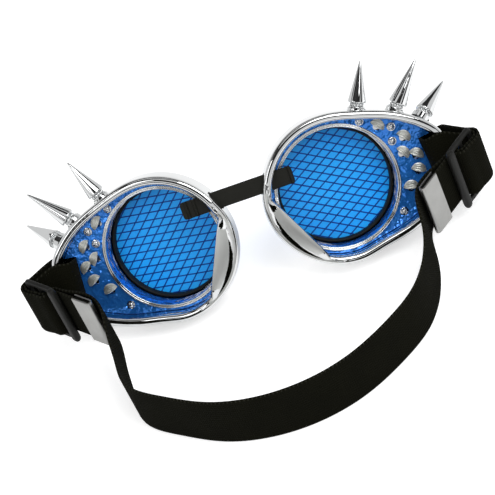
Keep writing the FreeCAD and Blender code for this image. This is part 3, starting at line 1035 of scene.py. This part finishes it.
    def satin_nose(self, shell: Object) -> None:
        """Give the broad faces of the nose flat their own finish."""
        for face in shell.data.polygons:
            reach = self.nose_reach(face.center / MILLIMETRE)
            if reach > self.nose_distance and face.normal.y > self.satin_facing:
                face.material_index = 1

    def slot_cutter(self) -> Object:
        """Make the block that opens the strap slot in the plate."""
        half = Vector((self.slot_width / 2, 0.0, self.slot_height / 2))
        low = Vector((self.slot_x, self.plate_front - self.cut_past, self.slot_z)) - half
        high = Vector((self.slot_x, self.panel_back, self.slot_z)) + half
        return block("slot", low, high)

    def bridge_cutter(self) -> Object:
        """Make the block that opens the tunnel for the bridge strip."""
        cup = self.standing.local_cup()
        entry = cup @ Vector(self.bridge_entry)
        level = Matrix.Translation(entry) @ Matrix.Rotation(math.radians(self.standing.pitch), 4, "X")
        half = Vector(self.bridge_hole) / 2
        return block("tunnel", -half, half, cup.inverted() @ level)

    def panel(self) -> None:
        """Build the blue panel with its rounded border and air holes."""
        name = self.side.name_of("cup_panel")
        inset, soft, far = self.rim_width + self.fit_gap, self.panel_round, self.reach
        rows = [self.outline.ring(inset, self.panel_front)]
        for across, level in arc((inset + soft, self.panel_back - soft), soft, 180, 90, 5):
            rows.append(self.outline.ring(across, level))
        rows += self.hole_rings(self.panel_back, self.panel_front)
        panel = Piece().grid(rows, loop=True).make(name, [BLUE_ABS])
        inner = self.slot_x - self.slot_width / 2 + self.panel_overhang
        beyond = block("beyond", Vector((inner, -far, -far)), Vector((far, far, self.panel_top)))
        combine(panel, beyond, Mix.TAKE_AWAY)
        hole = [(self.vent_hole, -far), (self.vent_hole, far)]
        for across, up, _ in self.vent_places:
            drill = Piece().lathe(hole, axis_place(self.panel_spot(across, up), TO_WEARER), steps=32)
            combine(panel, drill.make("hole", [BLUE_ABS]), Mix.TAKE_AWAY)
        settle(panel, self.place())
        dress(panel, name)

    def neck(self) -> None:
        """Build the neck in front of the plate, with thread ridges inside."""
        inner, front, bevel = self.hole_radius, self.neck_front, self.neck_bevel
        outer = inner + self.neck_wall
        depth, slope = self.thread_size
        profile = [(inner, front), (outer - bevel, front), (outer, front + bevel)]
        profile += [(outer, self.plate_front), (inner, self.plate_front)]
        for index in range(self.thread_count):
            level = front + self.thread_start - self.thread_pitch * index
            profile += [(inner, level), (inner + depth, level - slope)]
        self.ring("lens_neck", profile, CHROME, "plated_shell")

    def tube(self) -> None:
        """Build the blue tube behind the trim ring."""
        inner, outer = self.bore_radius, self.bore_radius + self.tube_wall
        back, front = self.panel_back, self.panel_back - self.tube_length
        profile = [(outer, front), (outer, back), (inner, back)]
        profile += [(inner, back - self.tube_length * share) for share in self.tube_shares]
        profile += [(inner, front)]
        self.ring("lens_tube", profile, BLUE_ABS, "blue_plastic")

    def trim(self) -> None:
        """Build the bright ring with two beads and a groove between them."""
        low = self.panel_back
        bead = self.trim_width / 4
        inner = self.bore_radius
        profile = [(inner + self.trim_width, low), (inner, low)]
        high = low + self.trim_height - bead
        profile += arc((inner + bead, high), bead, 180, 20, 6)
        profile += arc((inner + 3 * bead, high), bead, 160, 0, 6)
        self.ring("trim_ring", profile, CHROME, "plated_trim")


@dataclass
class LensPack(CupWork):
    """The lens with its lattice, its sleeve and the bezel that holds it."""

    lens_radius: float = 24.8
    lens_back: float = -11.8
    lens_front: float = -13.4
    gasket_radius: float = 23.5
    gasket_wall: float = 1.3
    gasket_length: float = 3.3
    lattice_spacing: float = 3.3
    lattice_width: float = 0.52
    lattice_height: float = 0.12
    lattice_turns: dict[Side, tuple[float, float]] = field(
        default_factory=lambda: {Side.LEFT: (1.3, -49.4), Side.RIGHT: (-36.9, 24.0)}
    )
    neck_front: float = -12.0
    run_gap: float = 0.3
    skirt_radius: float = 26.3
    skirt_bore: float = 25.1
    bezel_radius: float = 27.9
    bezel_front: float = -14.7
    bezel_skirt: float = 3.4
    bezel_plain_band: float = 0.8
    knurl_count: int = 48
    knurl_depth: float = 0.35
    knurl_steps: int = 8
    lens_edge: float = 0.3
    bezel_round: float = 0.4
    bezel_bevel: float = 0.2

    def build(self) -> None:
        """Build and dress the lens, the sleeve and the bezel."""
        self.lens()
        self.gasket()
        self.bezel()

    def lens(self) -> None:
        """Build the lens disc and the lattice printed on both faces."""
        radius, edge, front, back = self.lens_radius, self.lens_edge, self.lens_front, self.lens_back
        profile = [(radius - edge, front), (radius, front + edge)]
        profile += [(radius, back - edge), (radius - edge, back)]
        piece = Piece().lathe(profile, LENS_AXIS, RING_STEPS)
        for turn in self.lattice_turns[self.side]:
            self.lines(piece, turn, back, 1)
            self.lines(piece, turn, front, -1)
        # The lens blue is painted brighter, as painted light for the backlight through it.
        self.put(piece, "lens", [BLUE_ACRYLIC_PAINTED_BACKLIGHT, NAVY_INK], "blue_lens")

    def lines(self, piece: Piece, turn: float, level: float, way: int) -> None:
        """Add one family of parallel lattice lines.

        Args:
            piece: The lens piece.
            turn: The direction of the lines in the lens plane.
            level: The face that they are printed on.
            way: 1 where that face looks to the wearer, or else -1.
        """
        along = Vector((math.cos(math.radians(turn)), 0.0, math.sin(math.radians(turn))))
        aside = Vector((-along.z, 0.0, along.x))
        count = int(self.gasket_radius / self.lattice_spacing)
        lift = TO_WEARER * (self.lattice_height * way)
        edges = [aside * (self.lattice_width * share) for share in (-0.5, 0.5)]
        for index in range(-count, count + 1):
            offset = index * self.lattice_spacing
            half = math.sqrt(self.gasket_radius ** 2 - offset ** 2)
            middle = aside * offset + TO_WEARER * level
            rows = []
            for end in (-half, half):
                low, high = (middle + edge + along * end for edge in edges)
                rows.append([low, high, high + lift, low + lift][::way])
            piece.grid(rows, finish=1)

    def gasket(self) -> None:
        """Build the rubber sleeve with a rounded back edge."""
        inner, wall = self.gasket_radius, self.gasket_wall
        back = self.lens_back + self.gasket_length
        profile = [(inner, self.lens_back), (inner + wall, self.lens_back)]
        profile += arc((inner + wall / 2, back - wall / 2), wall / 2, 0, 180, 8)
        self.ring("lens_gasket", profile, BLACK_RUBBER, "black_rubber")

    def bezel(self) -> None:
        """Build the turning front ring: lip, grooved flange and skirt."""
        outer, inner, front = self.bezel_radius, self.gasket_radius, self.bezel_front
        lip = self.lens_front - self.run_gap
        flange = self.neck_front - self.run_gap
        back = flange + self.bezel_skirt
        soft, bevel = self.bezel_round, self.bezel_bevel
        band = front + self.bezel_plain_band
        profile = [(inner, lip), (self.skirt_bore, lip), (self.skirt_bore, back), (self.skirt_radius, back)]
        profile += [(self.skirt_radius, flange), (outer - bevel, flange)]
        grooved = len(profile)
        profile += [(outer, flange - bevel), (outer, band + bevel)]
        plain = len(profile)
        profile += [(outer, band)]
        profile += arc((outer - soft, front + soft), soft, 360, 270, 4)
        profile += arc((inner + soft, front + soft), soft, 270, 180, 4)

        def groove(turn: float, mark: int) -> float:
            """Sink the grooves of the flange."""
            share = 0.5 - 0.5 * math.cos(self.knurl_count * turn)
            return -self.knurl_depth * share if grooved <= mark < plain else 0.0

        steps = self.knurl_count * self.knurl_steps
        piece = Piece().lathe(profile, LENS_AXIS, steps, loop=True, reach=groove)
        self.put(piece, "bezel", [CHROME], "plated_trim")


@dataclass
class Bridge:
    """The rubber strip that joins the cups and lets them slide."""

    standing: Standing
    cup: Cup
    height: float = 7.5
    thickness: float = 1.6
    left_reach: float = 25.4
    right_reach: float = 23.5
    rib_width: float = 1.1
    rib_height: float = 0.8
    rib_inset: float = 2.0
    rib_count: int = 2
    rib_swell: float = 1.6
    rib_spacing: float = 3.4
    stop_width: float = 1.6
    corner: float = 0.5
    end_round: float = 1.2
    station_spacing: float = 0.15

    def rise(self, mark: float) -> float:
        """Give how far a rib or the stop stands up at a place along the strip."""
        first = self.left_reach - self.rib_inset - self.rib_width
        spans = [(first - index * self.rib_spacing, self.rib_width) for index in range(self.rib_count)]
        for start, width in spans + [(-self.right_reach, self.stop_width)]:
            share = (mark - start) / width
            if 0 <= share <= 1:
                return self.rib_height * min(1.0, self.rib_swell * math.sin(math.pi * share))
        return 0.0

    def build(self) -> None:
        """Build and dress the strip."""
        length = self.left_reach + self.right_reach
        steps = int(length / self.station_spacing)
        rows = []
        for step in range(steps + 1):
            mark = -self.right_reach + length * step / steps
            short = max(0.0, self.end_round - min(mark + self.right_reach, self.left_reach - mark))
            shrink = self.end_round - math.sqrt(max(0.0, self.end_round ** 2 - short ** 2))
            rib = self.rise(mark)
            outline = rounded_box(self.thickness, self.height - 2 * shrink, self.corner)
            rows.append([Vector((mark, thick + (rib if thick > 0 else 0.0), up)) for thick, up in outline])
        entry = self.standing.local_cup() @ Vector(self.cup.bridge_entry)
        tilt = Matrix.Rotation(math.radians(self.standing.pitch), 4, "X")
        place = self.standing.table() @ Matrix.Translation((0.0, entry.y, entry.z)) @ tilt
        strip = Piece().grid(rows).make("bridge_strip", [BLACK_RUBBER], place)
        dress(strip, "bridge_strip")


@dataclass
class Slider:
    """The three-bar slider that the strap goes through, on either side."""

    standing: Standing
    middle: Spot = (92.2, 6.6, -6.5)
    turn: float = 135.0
    bar: float = 1.8
    spacing: float = 7.0
    thickness: float = 1.8
    height: float = 32.2
    window: float = 27.6
    corner: float = 1.5
    edge: float = 0.5
    # In radians.
    edge_turns: tuple[float, ...] = (0.0, 0.4, 0.8, 1.2, 1.57)
    window_corner: float = 0.8
    cut_past: float = 0.01
    rear_bar_at: float = 7.6
    rear_bar_size: Point = (3.8, 3.2)
    bar_end_levels: tuple[float, ...] = (0.0, 0.15, 0.5, 1.0, 1.7, 2.6)
    bar_end_share: float = 0.55
    bar_round_share: float = 0.42

    def place(self) -> Matrix:
        """Give the left slider's place between the lens rings: X along the strap."""
        return Matrix.Translation(self.middle) @ Matrix.Rotation(math.radians(self.turn), 4, "Z")

    def point(self, along: float, across: float) -> Vector:
        """Give a point beside the middle bar, across being away from the cup."""
        return self.place() @ Vector((along, -across, 0.0))

    def build(self, side: Side) -> None:
        """Build and dress the slider of one side.

        Args:
            side: The side that it is on.
        """
        name = side.name_of("strap_slider")
        size = (2 * self.spacing + self.bar, self.height)
        slider = self.plate(name, 0.0, size, self.corner, self.thickness, -1)
        opening = (self.spacing - self.bar, self.window)
        depth = self.thickness + 2 * self.cut_past
        for way in (-1, 1):
            middle = way * self.spacing / 2
            window = self.plate("window", middle, opening, self.window_corner, depth, 1)
            combine(slider, window, Mix.TAKE_AWAY)
        combine(slider, self.rear_bar(), Mix.JOIN)
        settle(slider, self.standing.table(side) @ self.place())
        dress(slider, name)

    def plate(
        self, name: str, middle: float, size: Point, corner: float, thickness: float, flare: int
    ) -> Object:
        """Make a plate in the slider's frame, or the cutter of a window in it.

        Args:
            name: The plate's name.
            middle: The place of its middle along the strap.
            size: Its length and height.
            corner: The radius of its corners.
            thickness: Its thickness.
            flare: -1 where its edges are rounded, or 1 where they widen to round those of a window.

        Returns:
            The plate.
        """
        half, soft = thickness / 2, self.edge
        low = [(soft - half - soft * math.cos(t), soft - soft * math.sin(t)) for t in self.edge_turns]
        rows = []
        for level, inset in low + [(-level, inset) for level, inset in reversed(low)]:
            grown = flare * inset
            outline = rounded_box(size[0] + 2 * grown, size[1] + 2 * grown, corner + max(grown, 0.0))
            rows.append([Vector((middle + along, level, up)) for along, up in outline])
        return Piece().grid(rows).make(name, [BLACK_NYLON])

    def rear_bar(self) -> Object:
        """Build the thick round bar at the slider's rear, with rounded ends."""
        half = self.height / 2
        wide, thick = self.rear_bar_size
        low = self.thickness / 2
        ends = []
        for level in self.bar_end_levels:
            swell = math.sqrt(1 - (1 - level / self.bar_end_levels[-1]) ** 2)
            ends.append((level - half, self.bar_end_share + (1 - self.bar_end_share) * swell))
        ends += [(-level, share) for level, share in reversed(ends)]
        rings = []
        for level, share in ends:
            ring = rounded_box(wide * share, thick * share, min(wide, thick) * share * self.bar_round_share)
            rings.append(
                [Vector((self.rear_bar_at + along, low - thick / 2 - rise, level)) for along, rise in ring]
            )
        return Piece().grid(rings).make("rear_bar", [BLACK_NYLON])


@dataclass
class Strap:
    """The knitted head strap with its crimps and the sliders on it."""

    standing: Standing
    cup: Cup
    slider: Slider
    tip: float = 49.6
    run_gap: float = 0.3
    width: float = 25.0
    thickness: float = 1.2
    rib_pitch: float = 1.25
    rib_depth: float = 0.16
    rib_steps: int = 4
    bar_gap: float = 0.8
    gather_share: float = 0.84
    gather_starts: tuple[float, ...] = (0.95, 0.88)
    gather_drop: float = 2.0
    station_spacing: float = 1.6
    crimp_length: float = 10.0
    crimp_sheet: float = 0.6
    crimp_height: float = 26.4
    crimp_lip: Point = (0.05, 0.15)
    crimp_bevel: Point = (0.2, 0.12)
    crimp_shares: tuple[float, ...] = (0.3, 0.6, 1.0)
    tail_length: float = 26.0
    tail_bury: float = 8.6
    join_turn: float = 12.0
    join_shares: tuple[float, ...] = (0.5, 1.0, 1.0)
    join_length: float = 3.3
    loop_depth: float = 93.0
    loop_floor_y: float = 52.0
    loop_sway: float = 4.0
    # Across in shares of the crimp's place, back in shares of the depth, and the share of the sway.
    loop_shares: tuple[Spot, ...] = (
        (0.985, 0.375, 0.1), (0.960, 0.500, 0.4), (0.885, 0.670, 1.0),
        (0.690, 0.810, 1.0), (0.420, 0.935, 1.0), (0.147, 0.993, 1.0),
    )
    outer_layer_share: float = 0.58
    inner_layer_share: float = 0.40
    drop_share: float = 0.26
    fold_turns: tuple[float, ...] = (0.0, 45.0, 90.0, 135.0, 180.0)

    def build(self) -> None:
        """Build and dress the strap on both sides and the head loop."""
        for side in Side:
            self.loop(side)
            self.tail(side)
            self.crimp(side)
            self.slider.build(side)
        self.headband()

    def layer_rise(self, outer: bool) -> float:
        """Give how far a strap layer lies off the slider's middle plane."""
        rise = self.slider.thickness / 2 + self.run_gap + self.thickness / 2
        return rise + self.thickness + self.run_gap if outer else rise

    def fold(self, outer: bool) -> Ring:
        """List the path of a layer from the middle bar round the front bar."""
        radius = self.layer_rise(outer) + self.run_gap + self.cup.fit_gap
        path = [self.slider.point(-self.slider.bar, self.layer_rise(outer))]
        for turn in self.fold_turns[:-1] if outer else self.fold_turns:
            angle = math.radians(turn)
            path.append(
                self.slider.point(-self.slider.spacing - radius * math.sin(angle), radius * math.cos(angle))
            )
        return path

    def weave(self, outer: bool) -> Ring:
        """List the path of a layer over the middle bar and under the rear bar.

        Args:
            outer: Whether it is the outer layer.

        Returns:
            The points of the path.
        """
        gap = self.slider.spacing - self.slider.bar
        share = self.outer_layer_share if outer else self.inner_layer_share
        over, under = self.layer_rise(outer), -self.layer_rise(not outer)
        middle = self.slider.bar / 2 + gap * share
        spread = gap * self.drop_share
        return [
            self.slider.point(-self.slider.bar, over),
            self.slider.point(0.0, over),
            self.slider.point(middle - spread, over - self.run_gap),
            self.slider.point(middle, (over + under) / 2),
            self.slider.point(middle + spread, under + self.run_gap),
            self.slider.point(self.slider.spacing, under),
        ]

    def section(self) -> list[Point]:
        """List the strap's cross-section as width and thickness, with its ribs.

        Returns:
            The points, all the way round.
        """
        half = self.width / 2
        count = int(self.width / self.rib_pitch) * self.rib_steps
        face = []
        for step in range(1, count):
            across = -half + self.width * step / count
            sink = self.rib_depth * (0.5 - 0.5 * math.cos(2 * math.pi * step / self.rib_steps))
            edge = min(1.0, (half - abs(across)) / (self.thickness / 2))
            face.append((across, self.thickness / 2 * math.sqrt(1 - (1 - edge) ** 2) - sink))
        back = [(across, -thick) for across, thick in reversed(face)]
        return [(-half, 0.0)] + face + [(half, 0.0)] + back

    def ribbon(
        self,
        name: str,
        points: Ring,
        wides: Ring,
        side: Side,
        drop: float = 0.0,
        spans: Optional[Sequence[float]] = None,
    ) -> Object:
        """Sweep the strap's section along a path.

        Args:
            name: The piece's name.
            points: The path.
            wides: The width direction at each point.
            side: The side that the path is mirrored to.
            drop: How far the head loop sinks to the table.
            spans: Share of the full width at each point, where the strap gathers.

        Returns:
            The strap piece.
        """
        curve = Spline(points)
        steps = int(curve.length / self.station_spacing)
        marks = [curve.length * step / steps for step in range(steps + 1)]
        spots = [self.sunk(curve.at(mark), drop) for mark in marks]
        section = self.section()
        rows, ways = [], []
        for index, mark in enumerate(marks):
            span = min(int(np.searchsorted(curve.marks, mark, side="right")) - 1, len(points) - 2)
            share = (mark - curve.marks[span]) / curve.spans[span]
            wide = (wides[span] * (1 - share) + wides[span + 1] * share).normalized()
            way = spots[min(index + 1, steps)] - spots[max(index - 1, 0)]
            thick = way.cross(wide).normalized()
            full = spans[span] * (1 - share) + spans[span + 1] * share if spans else 1.0
            rows.append([spots[index] + wide * across * full + thick * up for across, up in section])
            ways.append([(mark, across) for across, _ in section])
        return Piece().grid(rows, ways=ways).make(name, [ELASTIC], self.standing.table(side), STRAP_SHARP)

    def sunk(self, spot: Vector, drop: float) -> Vector:
        """Lower a point of the head loop towards the table."""
        leave = self.leave_point().y
        share = min(max((spot.y - leave) / (self.loop_floor_y - leave), 0.0), 1.0)
        return spot - Vector((0.0, 0.0, drop * (1 - math.cos(math.pi * share)) / 2))

    def joins(self) -> Ring:
        """List the path where the strap leaves the slider."""
        path = self.weave(False)
        for share in self.join_shares:
            turn = math.radians(self.slider.turn + self.join_turn * share)
            path.append(path[-1] + Vector((math.cos(turn), math.sin(turn), 0.0)) * self.join_length)
        return path

    def leave_point(self) -> Vector:
        """Give the point where the strap starts to sink."""
        return self.joins()[-1]

    def loop(self, side: Side) -> None:
        """Build the strap from the slider through the cup's slot and back.

        Args:
            side: The side that it is on.
        """
        half = self.thickness / 2
        over = self.cup.rim_height + self.run_gap + self.cup.fit_gap + half
        under = self.cup.plate_front - self.bar_gap - half
        tip = self.tip + self.bar_gap + half
        inside = tip - self.cup.rim_width - 2 * self.bar_gap
        height = self.cup.slot_z - self.gather_drop
        run = [
            (tip - self.cup.rim_width / 2, over, height - 2 * self.bar_gap),
            (inside, over, height),
            (self.cup.slot_x + 2 * self.bar_gap, self.cup.rim_height, height),
            (self.cup.slot_x + self.run_gap, self.cup.rim_height / 2, height),
            (self.cup.slot_x, self.cup.panel_front, height),
            (self.cup.slot_x + self.cup.fit_gap, self.cup.plate_front, height),
            (self.cup.slot_x + 2 * self.bar_gap, under - self.run_gap, height),
            (inside, under - self.bar_gap, height),
            (tip - self.bar_gap, under + self.bar_gap, height),
            (tip + self.bar_gap, 0.0, height - self.bar_gap),
        ]
        cup = self.standing.local_cup()
        inner, outer = self.fold(False), list(reversed(self.fold(True)))
        points = inner + [cup @ Vector(spot) for spot in run] + outer
        tilted = cup.to_3x3() @ UPWARDS
        wides = [UPWARDS] * len(inner) + [tilted] * len(run) + [UPWARDS] * len(outer)
        ends = list(self.gather_starts)
        gathered = ends + [self.gather_share] * (len(run) - 2 * len(ends)) + ends[::-1]
        spans = [1.0] * len(inner) + gathered + [1.0] * len(outer)
        name = side.name_of("strap_loop")
        loop = self.ribbon(name, points, wides, side, spans=spans)
        near = self.slider.point(-self.slider.spacing, -self.layer_rise(True))
        self.follow(loop, name, side, near, cup @ Vector(run[1]))

    def follow(self, piece: Object, name: str, side: Side, near: Vector, far: Vector) -> None:
        """Dress a strap piece that bends between the slider and the cup.

        Args:
            piece: The strap piece.
            name: The node that it replaces.
            side: The side that it is on.
            near: Where it stops following the slider.
            far: Where it starts following the cup.
        """
        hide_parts(name)
        table = self.standing.table(side)
        start, end = (tuple(table @ spot * MILLIMETRE) for spot in (near, far))
        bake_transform(piece, side.name_of("slider"), side.name_of("cup"), start=start, end=end)
        LOG.info("%s bends between the slider and the cup", name)

    def tail(self, side: Side) -> None:
        """Build the free tail from the slider into the crimp."""
        path = self.weave(True)
        near, far = (self.slider.point(along, 0.0) for along in (self.slider.spacing, self.tail_length))
        path += [path[-1] + (far - near) / 2, path[-1] + (far - near)]
        name = side.name_of("strap_tail")
        self.follow(self.ribbon(name, path, [UPWARDS] * len(path), side), name, side, near, far)

    def crimp(self, side: Side) -> None:
        """Build the crimp: sheet folded round the strap's end.

        Args:
            side: The side that it is on.
        """
        name = side.name_of("strap_crimp")
        inside = self.thickness / 2 + self.run_gap
        outside = inside + self.crimp_sheet
        mouth, end = -self.tail_bury, self.crimp_length - self.tail_bury
        inset, bevel = self.crimp_lip
        upper = [(mouth, inside), (mouth - inset, inside + self.crimp_sheet / 2), (mouth + bevel, outside)]
        upper += [(mouth + (end - outside - mouth) * share, outside) for share in self.crimp_shares]
        profile = upper + arc((end - outside, 0.0), outside, 80, -80, 10)
        profile += [(along, -rise) for along, rise in reversed(upper)]
        profile += arc((end - outside, 0.0), inside, -85, 85, 8)
        half = self.crimp_height / 2
        drop, shrink = self.crimp_bevel
        levels = ((-half, 1 - shrink), (drop - half, 1.0), (half - drop, 1.0), (half, 1 - shrink))
        rows = [[Vector((x, y * share, level)) for x, y in profile] for level, share in levels]
        spot = self.slider.point(self.tail_length, -self.layer_rise(False))
        place = Matrix.Translation(spot) @ Matrix.Rotation(math.radians(self.slider.turn), 4, "Z")
        piece = Piece().grid(rows).make(name, [NICKEL_SHEET], self.standing.table(side) @ place)
        dress(piece, name)

    def headband(self) -> None:
        """Build the head loop from one slider round the back to the other."""
        path = self.joins()
        leave = path[-1]
        crimp = self.thickness + 2 * self.run_gap + 2 * self.crimp_sheet
        clear = self.layer_rise(False) + crimp / 2 + self.bar_gap + self.thickness / 2
        beside = self.slider.point(self.tail_length + self.crimp_length - self.tail_bury, -clear)
        path.append(beside)
        sways = [0.0] * len(path)
        for across, back, sway in self.loop_shares:
            path.append(Vector((across * beside.x, back * self.loop_depth, leave.z)))
            sways.append(sway)
        path += [Vector((-spot.x, spot.y, spot.z)) for spot in reversed(path)]
        sways += list(reversed(sways))
        path = [spot + Vector((self.loop_sway * sway, 0.0, 0.0)) for spot, sway in zip(path, sways)]
        drop = leave.z + self.standing.lift - self.width / 2
        band = self.ribbon("headband", path, [UPWARDS] * len(path), Side.LEFT, drop)
        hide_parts("headband")
        reach = beside.x * MILLIMETRE
        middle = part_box("headband")[0][1]
        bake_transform(band, "right_cup", "left_cup", start=(-reach, middle, 0.0), end=(reach, middle, 0.0))
        LOG.info("headband bends between right_cup and left_cup")


@dataclass
class Studio:
    """The pale floor, the soft light and the camera."""

    standing: Standing
    azimuth: float = -8.75
    elevation: float = 41.92
    roll: float = -24.91
    distance: float = 1000.0
    lens: float = 174.3
    shift_x: float = -0.0063
    shift_y: float = -0.0606
    floor_size: float = 6000.0
    floor_depth: float = 20.0
    floor_gap: float = 0.05
    floor_colour: str = "f4f4f4"
    floor_roughness: float = 0.9
    floor_glow: float = 0.4
    sky_strength: float = 0.72
    # Name, place, side and watts.
    lamps: tuple[tuple[str, Spot, float, float], ...] = (
        ("key", (-500.0, 250.0, 900.0), 700.0, 6.0),
        ("fill", (700.0, 500.0, 700.0), 600.0, 2.5),
    )
    felt_colour: str = "060606"
    card_thickness: float = 5.0
    curtain_radius: float = 1400.0
    near_rises: Point = (27.0, 62.0)
    far_rises: Point = (36.0, 60.0)
    curtain_half_turn: float = 85.0
    curtain_steps: int = 60
    hoop_radii: Point = (660.0, 1300.0)
    hoop_distance: float = 700.0
    mirror_glow: float = 0.12
    clip_end: float = 20000.0

    def build(self) -> None:
        """Build the floor, the light, the dark room that the plating mirrors, and the camera."""
        bpy.context.scene.view_settings.view_transform = "Standard"
        self.floor()
        self.sky()
        for lamp in self.lamps:
            self.lamp(*lamp)
        self.room()
        self.camera()

    def seen(self, tree: NodeTree) -> NodeSocket:
        """Tell camera, mirror and glass rays from the rays that light things."""
        rays = add_node(tree, "ShaderNodeLightPath").outputs
        mirror = calculate(tree, "MULTIPLY", rays["Is Glossy Ray"], self.mirror_glow)
        first = calculate(tree, "MAXIMUM", rays["Is Camera Ray"], mirror)
        return calculate(tree, "MAXIMUM", first, rays["Is Transmission Ray"])

    def floor(self) -> None:
        """Build the pale floor, which shows white where no shadow falls."""
        half = self.floor_size / 2
        low, high = Vector((-half, -half, -self.floor_depth)), Vector((half, half, -self.floor_gap))
        floor = block("floor", low, high)
        settings = {
            "Base Color": linear_colour(self.floor_colour),
            "Roughness": self.floor_roughness,
            "Specular IOR Level": 0.0,
        }
        paper, shader = new_material("matt_white_paper", settings)
        tree = paper.node_tree
        level = calculate(tree, "MULTIPLY", self.seen(tree), self.floor_glow)
        glow = add_node(tree, "ShaderNodeEmission", {"Color": WHITE}, {"Strength": level})
        both = add_node(tree, "ShaderNodeAddShader", None, {0: shader.outputs[0], 1: glow.outputs[0]})
        tree.links.new(both.outputs[0], tree.nodes["Material Output"].inputs["Surface"])
        floor.data.materials.append(paper)

    def sky(self) -> None:
        """Fill the studio with even light, white to the camera."""
        world = bpy.data.worlds.new("studio")
        bpy.context.scene.world = world
        world.use_nodes = True
        tree = world.node_tree
        back = tree.nodes["Background"]
        set_node(back, {"Color": WHITE})
        camera_ray = add_node(tree, "ShaderNodeLightPath").outputs["Is Camera Ray"]
        ends = {"To Min": self.sky_strength, "To Max": 1.0}
        strength = add_node(tree, "ShaderNodeMapRange", ends, {"Value": camera_ray})
        tree.links.new(strength.outputs["Result"], back.inputs["Strength"])

    def aim(self) -> Vector:
        """Give the point between the lens rings, in metres."""
        return self.standing.table() @ Vector() * MILLIMETRE

    def lamp(self, name: str, spot: Spot, size: float, power: float) -> None:
        """Hang one square lamp that faces the goggles.

        Args:
            name: The lamp's name.
            spot: Where it hangs.
            size: Its side.
            power: Its power in watts.
        """
        data = bpy.data.lights.new(name, "AREA")
        data.size = size * MILLIMETRE
        data.energy = power
        lamp = bpy.data.objects.new(name, data)
        bpy.context.scene.collection.objects.link(lamp)
        lamp.location = Vector(spot) * MILLIMETRE
        lamp.rotation_euler = (self.aim() - lamp.location).to_track_quat("-Z", "Y").to_euler()

    def dark(self, card: Object) -> None:
        """Cover a card with black felt and let only mirrors see it."""
        felt = bpy.data.materials.get("black_felt")
        if not felt:
            felt, _ = new_material("black_felt", {"Base Color": linear_colour(self.felt_colour)})
        card.data.materials.append(felt)
        card.visible_camera = card.visible_diffuse = card.visible_shadow = False

    def room(self) -> None:
        """Hang a dark curtain behind the camera, one across from it and a dark hoop between them."""
        self.curtain("near_curtain", 0.0, self.near_rises)
        self.curtain("far_curtain", math.pi, self.far_rises)
        inner, outer = self.hoop_radii
        thick = self.card_thickness
        profile = [(inner, 0.0), (outer, 0.0), (outer, thick), (inner, thick)]
        hoop = axis_place(self.back_way() * self.hoop_distance, self.back_way())
        self.dark(Piece().lathe(profile, hoop, steps=96, loop=True).make("hoop", []))

    def curtain(self, name: str, middle: float, rises: Point) -> None:
        """Hang one curved dark curtain between two angles above the floor."""
        low, high = (UPWARDS * (self.curtain_radius * math.tan(math.radians(rise))) for rise in rises)
        rows = []
        for step in range(self.curtain_steps + 1):
            turn = middle + math.radians(self.curtain_half_turn) * (2 * step / self.curtain_steps - 1)
            way = Vector((math.sin(turn), math.cos(turn), 0.0))
            near, far = way * self.curtain_radius, way * (self.curtain_radius + self.card_thickness)
            rows.append([near + low, near + high, far + high, far + low])
        self.dark(Piece().grid(rows).make(name, []))

    def back_way(self) -> Vector:
        """Give the direction from the goggles to the camera."""
        turn, rise = math.radians(self.azimuth), math.radians(self.elevation)
        return Vector((math.sin(turn) * math.cos(rise), math.cos(turn) * math.cos(rise), math.sin(rise)))

    def camera(self) -> None:
        """Set the camera at the photograph's viewing angle."""
        back = self.back_way()
        turn = math.radians(self.azimuth)
        right = Vector((-math.cos(turn), math.sin(turn), 0.0))
        up = back.cross(right)
        roll = math.radians(self.roll)
        across = right * math.cos(roll) + up * math.sin(roll)
        above = up * math.cos(roll) - right * math.sin(roll)
        data = bpy.data.cameras.new("camera")
        data.lens = self.lens
        data.sensor_fit = "HORIZONTAL"
        data.shift_x = self.shift_x
        data.shift_y = self.shift_y
        data.clip_end = self.clip_end * MILLIMETRE
        camera = bpy.data.objects.new("camera", data)
        bpy.context.scene.collection.objects.link(camera)
        axes = Matrix((across, above, back)).transposed().to_4x4()
        camera.matrix_world = Matrix.Translation(self.aim() + back * self.distance * MILLIMETRE) @ axes
        bpy.context.scene.camera = camera


def main() -> None:
    """Build the goggles and the studio."""
    logging.basicConfig(level=logging.INFO, format="%(message)s")
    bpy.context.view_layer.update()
    standing = Standing()
    outline = CupOutline()
    cups = [Cup(side, standing, outline) for side in Side]
    for cup in cups:
        cup.build()
        LensPack(cup.side, standing).build()
    Bridge(standing, cups[0]).build()
    Strap(standing, cups[0], Slider(standing)).build()
    Studio(standing).build()


if __name__ == "__main__":
    main()
